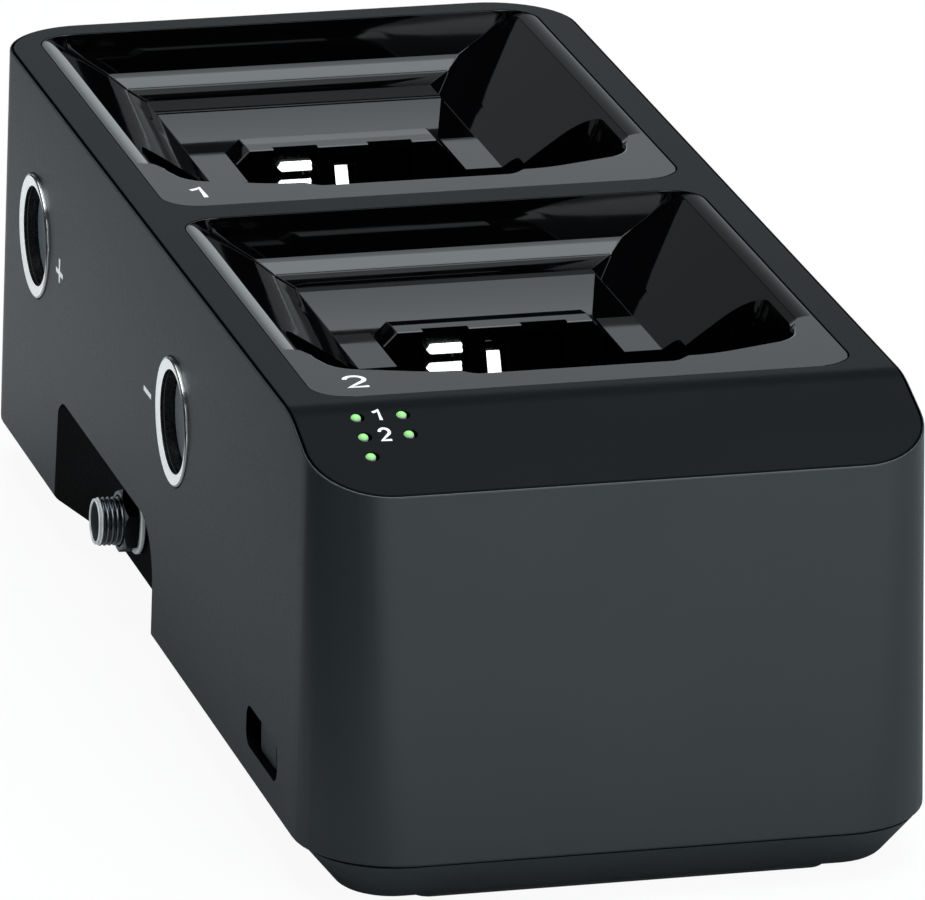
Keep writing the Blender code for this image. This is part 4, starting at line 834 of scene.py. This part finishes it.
def make_barrel(out):
    bush = [(JACK_BORE, JACK_FLOOR), (JACK_BORE, JACK_REACH - 0.2), (JACK_BORE + 0.08, JACK_REACH),
            (JACK_RADIUS - 0.3, JACK_REACH), (JACK_RADIUS - 0.2, JACK_REACH - 0.12),
            (JACK_RADIUS - 0.3, JACK_REACH - 0.5)]
    height = JACK_REACH - 0.6
    while height > THREAD_END:
        bush += [(JACK_RADIUS - depth, height - along) for depth, along in THREAD_ROWS]
        height -= THREAD_PITCH
    bush += [(JACK_RADIUS, 0.5), (JACK_RADIUS, JACK_ROOT), (PIN_HOLE, JACK_ROOT), (PIN_HOLE, JACK_FLOOR)]
    barrel = turned(bush, closed=True)
    for face in barrel.faces:
        middle = face.calc_center_median()
        # Faces in the bore take the darker plate: painted shade.
        if middle.xy.length < JACK_BORE + 0.01:
            face.material_index = BORE
        # The end of the barrel takes the nearly white plate: a painted highlight.
        elif middle.z > JACK_REACH - RIM_PAINTED_HIGHLIGHT:
            face.material_index = INNER
    bmesh.ops.transform(barrel, matrix=out, verts=barrel.verts[:])
    settle(barrel, "jack_barrel", (jack_nickel_painted_shade, nickel_painted_sheen, bore_nickel_painted_shade), ("jack_bushing",))


def make_nut(out):
    nut = bmesh.new()
    corner = NUT_ACROSS / math.sqrt(3)
    bmesh.ops.create_cone(nut, cap_ends=True, segments=6, radius1=corner, radius2=corner,
                          depth=NUT_THICKNESS)
    bmesh.ops.translate(nut, vec=(0, 0, NUT_MIDDLE), verts=nut.verts[:])
    crown = turned([(0, 0.5), (4.9, 0.5), (5.6, 1.75), (5.6, 3.1), (4.85, 3.62), (0, 3.62)])
    nut = carve(done(nut), crown, operation="INTERSECT")
    nut = carve(nut, turned(pillar(JACK_HOLE, 0, PAST)))
    bmesh.ops.transform(nut, matrix=out @ Matrix.Rotation(NUT_TURN, 4, "Z"), verts=nut.verts[:])
    settle(nut, "jack_hex_nut", (jack_nickel_painted_shade,), ("jack_nut",))


def make_jack():
    out = jack_axis()
    make_barrel(out)
    washer = [(JACK_HOLE, WASHER_LOW), (WASHER_OUTER - 0.2, WASHER_LOW), (WASHER_OUTER, WASHER_LOW + 0.2),
              (WASHER_OUTER, WASHER_HIGH - 0.2), (WASHER_OUTER - 0.2, WASHER_HIGH), (JACK_HOLE, WASHER_HIGH)]
    settle(turned(washer, out, closed=True), "jack_flat_washer", (nickel_painted_sheen,),
           ("jack_washer",))
    make_nut(out)
    pin = [(0, PIN_TOP), (0.5, PIN_TOP - 0.1), (0.85, PIN_TOP - 0.4), (PIN_RADIUS, PIN_TOP - 0.9),
           (PIN_RADIUS, PIN_ROOT), (0, PIN_ROOT)]
    settle(turned(pin, out, steps=SMALL_STEPS), "jack_centre_pin", (nickel,), ("jack_pin",))


# Base

TRAY_HALF = (48.6, 116.1)
TRAY_CORNER = 14.0
TRAY_LEAN = 6.0
TRAY_NECK = 2.0             # what stands inside the walls is narrower
TRAY_GAP = 0.35             # dark line under the walls
TRAY_FOOT, TRAY_TOP = 0.5, 10.8
TRAY_EDGE = 0.9             # rounding of its lower edge
TRAY_FLOOR, TRAY_WALL = 2.8, 8.0
# Lowest and highest corners of the room left for the recess and for the switch
RECESS_ROOM = ((-60.0, -9.05, -2.0), (-39.36, 74.85, 12.0))
SWITCH_ROOM = ((-60.0, -91.9, 9.1), (-39.2, -68.5, 30.0))
STRIPS = {"front": -105.5, "rear": 104.55}
STRIP_HALF, STRIP_CORNER, STRIP_TOP = (32.6, 4.0), 2.66, 1.5
STRIP_EDGE = 0.2
GROOVE_HALF, GROOVE_CORNER, GROOVE_TOP = (32.9, 4.3), 2.9, 1.8
SCREW_PLACES = [(x, y) for x in (-40.26, 40.26) for y in (-99.66, 99.66)]
SCREW_HOLE, SCREW_MOUTH, SCREW_DEPTH = 3.0, 3.3, 2.9


def tray_ring(height, inset):
    """The tray's outline at a height, drawn in by an inset."""
    return rectangle(TRAY_HALF[0] - inset, TRAY_HALF[1] - inset, TRAY_CORNER - inset), height


def make_base():
    lean = TRAY_LEAN / (FOOT - TRAY_FOOT)
    rings = [tray_ring(TRAY_FOOT + drop, TRAY_LEAN - lean * drop + inset)
             for inset, drop in reversed(quarter(TRAY_EDGE, 4))]
    shoulder = FOOT - TRAY_GAP
    tray = loft(rings + [tray_ring(shoulder, lean * TRAY_GAP), tray_ring(shoulder, TRAY_NECK),
                         tray_ring(TRAY_TOP, TRAY_NECK)])
    tools = [loft([tray_ring(height, TRAY_WALL) for height in (TRAY_FLOOR, 12.0)], finish=INNER),
             box(*RECESS_ROOM, INNER), box(*SWITCH_ROOM, INNER)]
    for x, y in SCREW_PLACES:
        head = [(0, -1), (SCREW_MOUTH, -1), (SCREW_MOUTH, TRAY_FOOT), (SCREW_HOLE, TRAY_FOOT + 0.3),
                (SCREW_HOLE, SCREW_DEPTH), (0, SCREW_DEPTH)]
        tools.append(turned(head, shift(x, y, 0), INNER, steps=40))
    for middle in STRIPS.values():
        groove = rectangle(*GROOVE_HALF, GROOVE_CORNER, (0, middle))
        tools.append(loft([(groove, -1.0), (groove, GROOVE_TOP)], finish=INNER))
    # The base's cut faces, its rooms, screw holes and grooves, are painted near-black as shade.
    settle(carve(tray, *tools), "base_pan", (base_abs, dull_nylon_and_painted_shade), ("base_tray",))
    long, wide = STRIP_HALF
    for word, middle in STRIPS.items():
        rings = [(rectangle(long - inset, wide - inset, STRIP_CORNER, (0, middle)), drop)
                 for inset, drop in reversed(quarter(STRIP_EDGE, 3))]
        rings.append((rectangle(long, wide, STRIP_CORNER, (0, middle)), STRIP_TOP))
        settle(loft(rings), f"{word}_rubber_strip", (foot_rubber,), (f"{word}_foot_strip",))


# Slide switch

KNOB_HALF, KNOB_CORNER = (4.9, 3.0), 0.9
KNOB_FACE_HALF, KNOB_FACE_CORNER = (4.65, 2.75), 0.7
KNOB_SUNK, KNOB_EDGE, KNOB_DEPTH = 1.1, 1.3, 4.4    # face, its edge and its back, inside the wall's face
SLIDE_HALF, SLIDE_THICKNESS = (7.0, 4.5), 1.2
SLIDE_LEVEL = 9.0           # the plate clears the wall at this height above the switch


def make_switch():
    wall = -wall_half(SWITCH_Z)
    middle = (SWITCH_Y, SWITCH_Z)
    outline = rectangle(*KNOB_HALF, KNOB_CORNER, middle)
    face = rectangle(*KNOB_FACE_HALF, KNOB_FACE_CORNER, middle)
    rings = [(face, wall + KNOB_SUNK), (outline, wall + KNOB_EDGE), (outline, wall + KNOB_DEPTH)]
    knob = loft(rings, ACROSS)
    left = -(wall_half(SWITCH_Z + SLIDE_LEVEL) - WALL - GAP)
    half_y, half_z = SLIDE_HALF
    slide = box((left, SWITCH_Y - half_y, SWITCH_Z - half_z),
                (left + SLIDE_THICKNESS, SWITCH_Y + half_y, SWITCH_Z + half_z))
    knob = carve(knob, slide, operation="UNION")
    settle(knob, "switch_knob", (case_abs,), ("switch_slider",), "switch_slider")


# Marks

INK_LOW, INK_HIGH = 0.005, 0.05    # the film of ink above its face
MITRE = 1.3                         # longest corner of a stroke, in half widths
BAY_STROKE, LIGHT_STROKE = 0.75, 0.5
BAY_FIGURE = 5.1                    # height of the bays' figures
SIGN_Z = FOOT + 38.6
SIGN_HALF, MINUS_HALF, SIGN_STROKE = 2.4, 2.5, 0.4
PLUS_Y, MINUS_Y = 63.1, 0.0
SIGN_FILM = (-0.03, 0.2)            # from just outside the wall to inside it


def one(width, height):
    """Middle line of a figure 1: its flag, then its stem."""
    return [(-width, 0.30 * height), (-0.45 * width, 0.37 * height), (0, height / 2), (0, -height / 2)]


def two(width, height):
    """Middle line of a figure 2: its bow, its slope and its foot."""
    across, rise = width * 0.5, height * 0.3
    turns = [math.radians(172 - 212 * step / 18) for step in range(19)]
    bow = [(across * math.cos(turn), height / 2 - rise + rise * math.sin(turn)) for turn in turns]
    return bow + [(-width / 2, -height / 2), (width / 2, -height / 2)]


def mark(name, line, weight, place):
    """A printed figure: a stroke along its middle line, as a thin film of ink on the face below it."""
    points = [Vector(point) for point in line]
    ways = [(b - a).normalized() for a, b in zip(points, points[1:])]
    bm = bmesh.new()
    rows = []
    for point, before, after in zip(points, [ways[0]] + ways, ways + [ways[-1]]):
        across = Vector((-before.y - after.y, before.x + after.x)) / 2
        across *= min(1 / across.length_squared, MITRE / across.length) * weight / 2
        rows.append([bm.verts.new((*(point + side * across), INK_LOW)) for side in (1, -1)])
    faces = [bm.faces.new((*a, *reversed(b))) for a, b in zip(rows, rows[1:])]
    grown = bmesh.ops.extrude_face_region(bm, geom=faces)["geom"]
    bmesh.ops.translate(bm, vec=(0, 0, INK_HIGH - INK_LOW),
                        verts=[g for g in grown if isinstance(g, bmesh.types.BMVert)])
    settle(done(bm, place), name, (white_ink_painted_glow,))


def make_marks():
    mark("bay_figure_1", one(1.7, BAY_FIGURE), BAY_STROKE, shift(-35.46, 19.98, TOP))
    mark("bay_figure_2", two(3.0, BAY_FIGURE), BAY_STROKE, shift(-35.0, -78.1, TOP))
    mark("light_figure_1", one(0.95, 2.65), LIGHT_STROKE, on_slope(-34.84, -92.2))
    mark("light_figure_2", two(1.5, 2.95), LIGHT_STROKE, on_slope(-35.11, -96.86))
    out, back = [-wall_half(SIGN_Z) + film for film in SIGN_FILM]
    bars = [("plus_upright", PLUS_Y, SIGN_STROKE, SIGN_HALF), ("plus_bar", PLUS_Y, SIGN_HALF, SIGN_STROKE),
            ("minus_bar", MINUS_Y, MINUS_HALF, SIGN_STROKE)]
    for name, y, half_y, half_z in bars:
        bar = box((out, y - half_y, SIGN_Z - half_z), (back, y + half_y, SIGN_Z + half_z))
        settle(bar, name, (white_ink_painted_glow,))


make_walls()
make_bezel()
make_lenses()
for bay_number in BAY_FRONTS:
    make_well(bay_number)
    make_contacts(bay_number)
make_links()
make_jack()
make_base()
make_switch()
make_marks()

# Pieces whose CAD shape is already right
KEPT = {"main_board": board_mask, "light_board": board_mask,
        "switch_body": dull_nylon_and_painted_shade, "jack_body": dull_nylon_and_painted_shade}
for number in range(1, 5):
    KEPT[f"base_screw_{number}"] = zinc_steel
    KEPT[f"board_screw_{number}"] = zinc_steel
for number in (1, 2):
    KEPT[f"charge_coil_{number}"] = ferrite
    KEPT[f"capacitor_{number}"] = can_aluminium
for node, finish in KEPT.items():
    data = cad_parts[node].data
    data.materials.clear()
    data.materials.append(finish)


# Studio

CAMERA_PLACE = Vector((-0.45589, -1.71312, 0.63149))
CAMERA_AHEAD = Vector((0.24514, 0.91526, -0.31970))
CAMERA_RIGHT = Vector((0.96734, -0.25284, 0.01790))
SENSOR = 36.0
PHOTO_WIDTH, FOCAL_PIXELS = 925, 11690.97
FAR = 50.0
COOL = (0.89, 0.96, 1.0, 1.0)     # the cool white of the lamps
FLOOR_RADIUS, FLOOR_SIDES = 6.0, 64
FLOOR_TONE = 0.9
FLOOR_GLOW = 0.93           # share of the floor's white that the object doesn't shade
# What gloss sees of the floor: where it changes, in metres, and how bright it is at either end
CARD_LEFT, CARD_LEFT_LEVELS = (-0.155, -0.10), (0.04, 1.0)
CARD_FRONT, CARD_FRONT_LEVELS = (-0.33, -0.13), (1.0, 0.3)
CARD_REAR, CARD_REAR_LEVELS = (-0.05, 0.28), (0.0, 0.27)
# What is seen of the sky: bright near the floor, and less bright on the left
SKY_HEIGHT, SKY_HEIGHT_LEVELS = (0.14, 0.50), (1.0, 0.06)
SKY_SIDE, SKY_SIDE_LEVELS = (-0.35, 0.2), (0.2, 1.0)
# place, aim, width, height and radiance of each lamp
LAMPS = {"overhead_softbox": ((0.3, 0.05, 1.4), (0.3, 0.05, 0), 1.5, 1.1, 4.2),
         "rear_softbox": ((0.4, 0.93, 1.4), (0.4, 0.93, 0), 1.6, 0.64, 1.6),
         "front_softbox": ((0.45, -1.4, 1.0), (0, 0, 0.05), 1.3, 1.0, 2.6),
         "left_softbox": ((-1.2, -0.15, 0.75), (0, 0, 0.05), 0.9, 0.7, 1.5)}


def make_camera():
    data = bpy.data.cameras.new("camera")
    data.sensor_width = SENSOR
    data.sensor_fit = "HORIZONTAL"
    data.lens = FOCAL_PIXELS / PHOTO_WIDTH * SENSOR
    data.clip_end = FAR
    camera = bpy.data.objects.new("camera", data)
    bpy.context.scene.collection.objects.link(camera)
    ahead = CAMERA_AHEAD.normalized()
    right = (CAMERA_RIGHT - ahead * CAMERA_RIGHT.dot(ahead)).normalized()
    up = right.cross(ahead)
    axes = Matrix((right, up, -ahead)).transposed().to_4x4()
    camera.matrix_world = Matrix.Translation(CAMERA_PLACE) @ axes
    bpy.context.scene.camera = camera


def softbox(name, place, aim, width, height, radiance):
    """An even rectangular lamp that shows in gloss but not to the camera."""
    data = bpy.data.lights.new(name, "AREA")
    data.shape = "RECTANGLE"
    data.size = width
    data.size_y = height
    data.energy = radiance * math.pi * width * height
    data.color = COOL[:3]
    lamp = bpy.data.objects.new(name, data)
    lamp.location = place
    lamp.rotation_euler = (Vector(aim) - Vector(place)).to_track_quat("-Z", "Y").to_euler()
    lamp.visible_camera = False
    bpy.context.scene.collection.objects.link(lamp)


def combine(tree, operation, first, second):
    """One step of arithmetic between two values."""
    return add_node(tree, "ShaderNodeMath", {0: first, 1: second}, operation=operation).outputs[0]


def make_floor():
    bm = bmesh.new()
    bmesh.ops.create_circle(bm, cap_ends=True, segments=FLOOR_SIDES, radius=FLOOR_RADIUS)
    mesh = bpy.data.meshes.new("floor")
    bm.to_mesh(mesh)
    bm.free()
    floor = bpy.data.objects.new("floor", mesh)
    bpy.context.scene.collection.objects.link(floor)
    # White sweep: plain white to the eye with a soft shadow, and shaded cards to the gloss
    material, tree, output, place = new_material("white_sweep")
    path = add_node(tree, "ShaderNodeLightPath").outputs
    part = add_node(tree, "ShaderNodeSeparateXYZ", {0: place}).outputs
    left = ramp(tree, part["X"], CARD_LEFT, CARD_LEFT_LEVELS)
    front = ramp(tree, part["Y"], CARD_FRONT, CARD_FRONT_LEVELS, "LINEAR")
    rear = ramp(tree, part["Y"], CARD_REAR, CARD_REAR_LEVELS, "LINEAR")
    card = combine(tree, "MULTIPLY", left, combine(tree, "ADD", front, rear))
    tone = add_node(tree, "ShaderNodeMix", {0: path["Is Glossy Ray"], 2: FLOOR_TONE, 3: card})
    seen = combine(tree, "MAXIMUM", path["Is Camera Ray"], path["Is Transmission Ray"])
    share = combine(tree, "MULTIPLY", seen, FLOOR_GLOW)
    matt = add_node(tree, "ShaderNodeBsdfDiffuse", {"Color": tone.outputs[0]})
    white = add_node(tree, "ShaderNodeEmission", {"Strength": 1.0})
    both = add_node(tree, "ShaderNodeMixShader", {0: share, 1: matt.outputs[0], 2: white.outputs[0]})
    tree.links.new(both.outputs[0], output.inputs["Surface"])
    mesh.materials.append(material)


def make_sky():
    world = bpy.data.worlds.new("studio")
    bpy.context.scene.world = world
    world.use_nodes = True
    tree = world.node_tree
    tree.nodes.clear()
    aim = add_node(tree, "ShaderNodeTexCoord").outputs["Generated"]
    part = add_node(tree, "ShaderNodeSeparateXYZ", {0: aim}).outputs
    level = combine(tree, "MULTIPLY", ramp(tree, part["Z"], SKY_HEIGHT, SKY_HEIGHT_LEVELS),
                    ramp(tree, part["X"], SKY_SIDE, SKY_SIDE_LEVELS))
    path = add_node(tree, "ShaderNodeLightPath").outputs
    shown = add_node(tree, "ShaderNodeMix", {0: path["Is Camera Ray"], 2: level, 3: 1.0})
    back = add_node(tree, "ShaderNodeBackground", {"Color": COOL, "Strength": shown.outputs[0]})
    out = add_node(tree, "ShaderNodeOutputWorld")
    tree.links.new(back.outputs[0], out.inputs["Surface"])


make_camera()
make_floor()
make_sky()
for lamp_name, lamp_values in LAMPS.items():
    softbox(lamp_name, *lamp_values)
bpy.context.scene.view_settings.view_transform = "Standard"
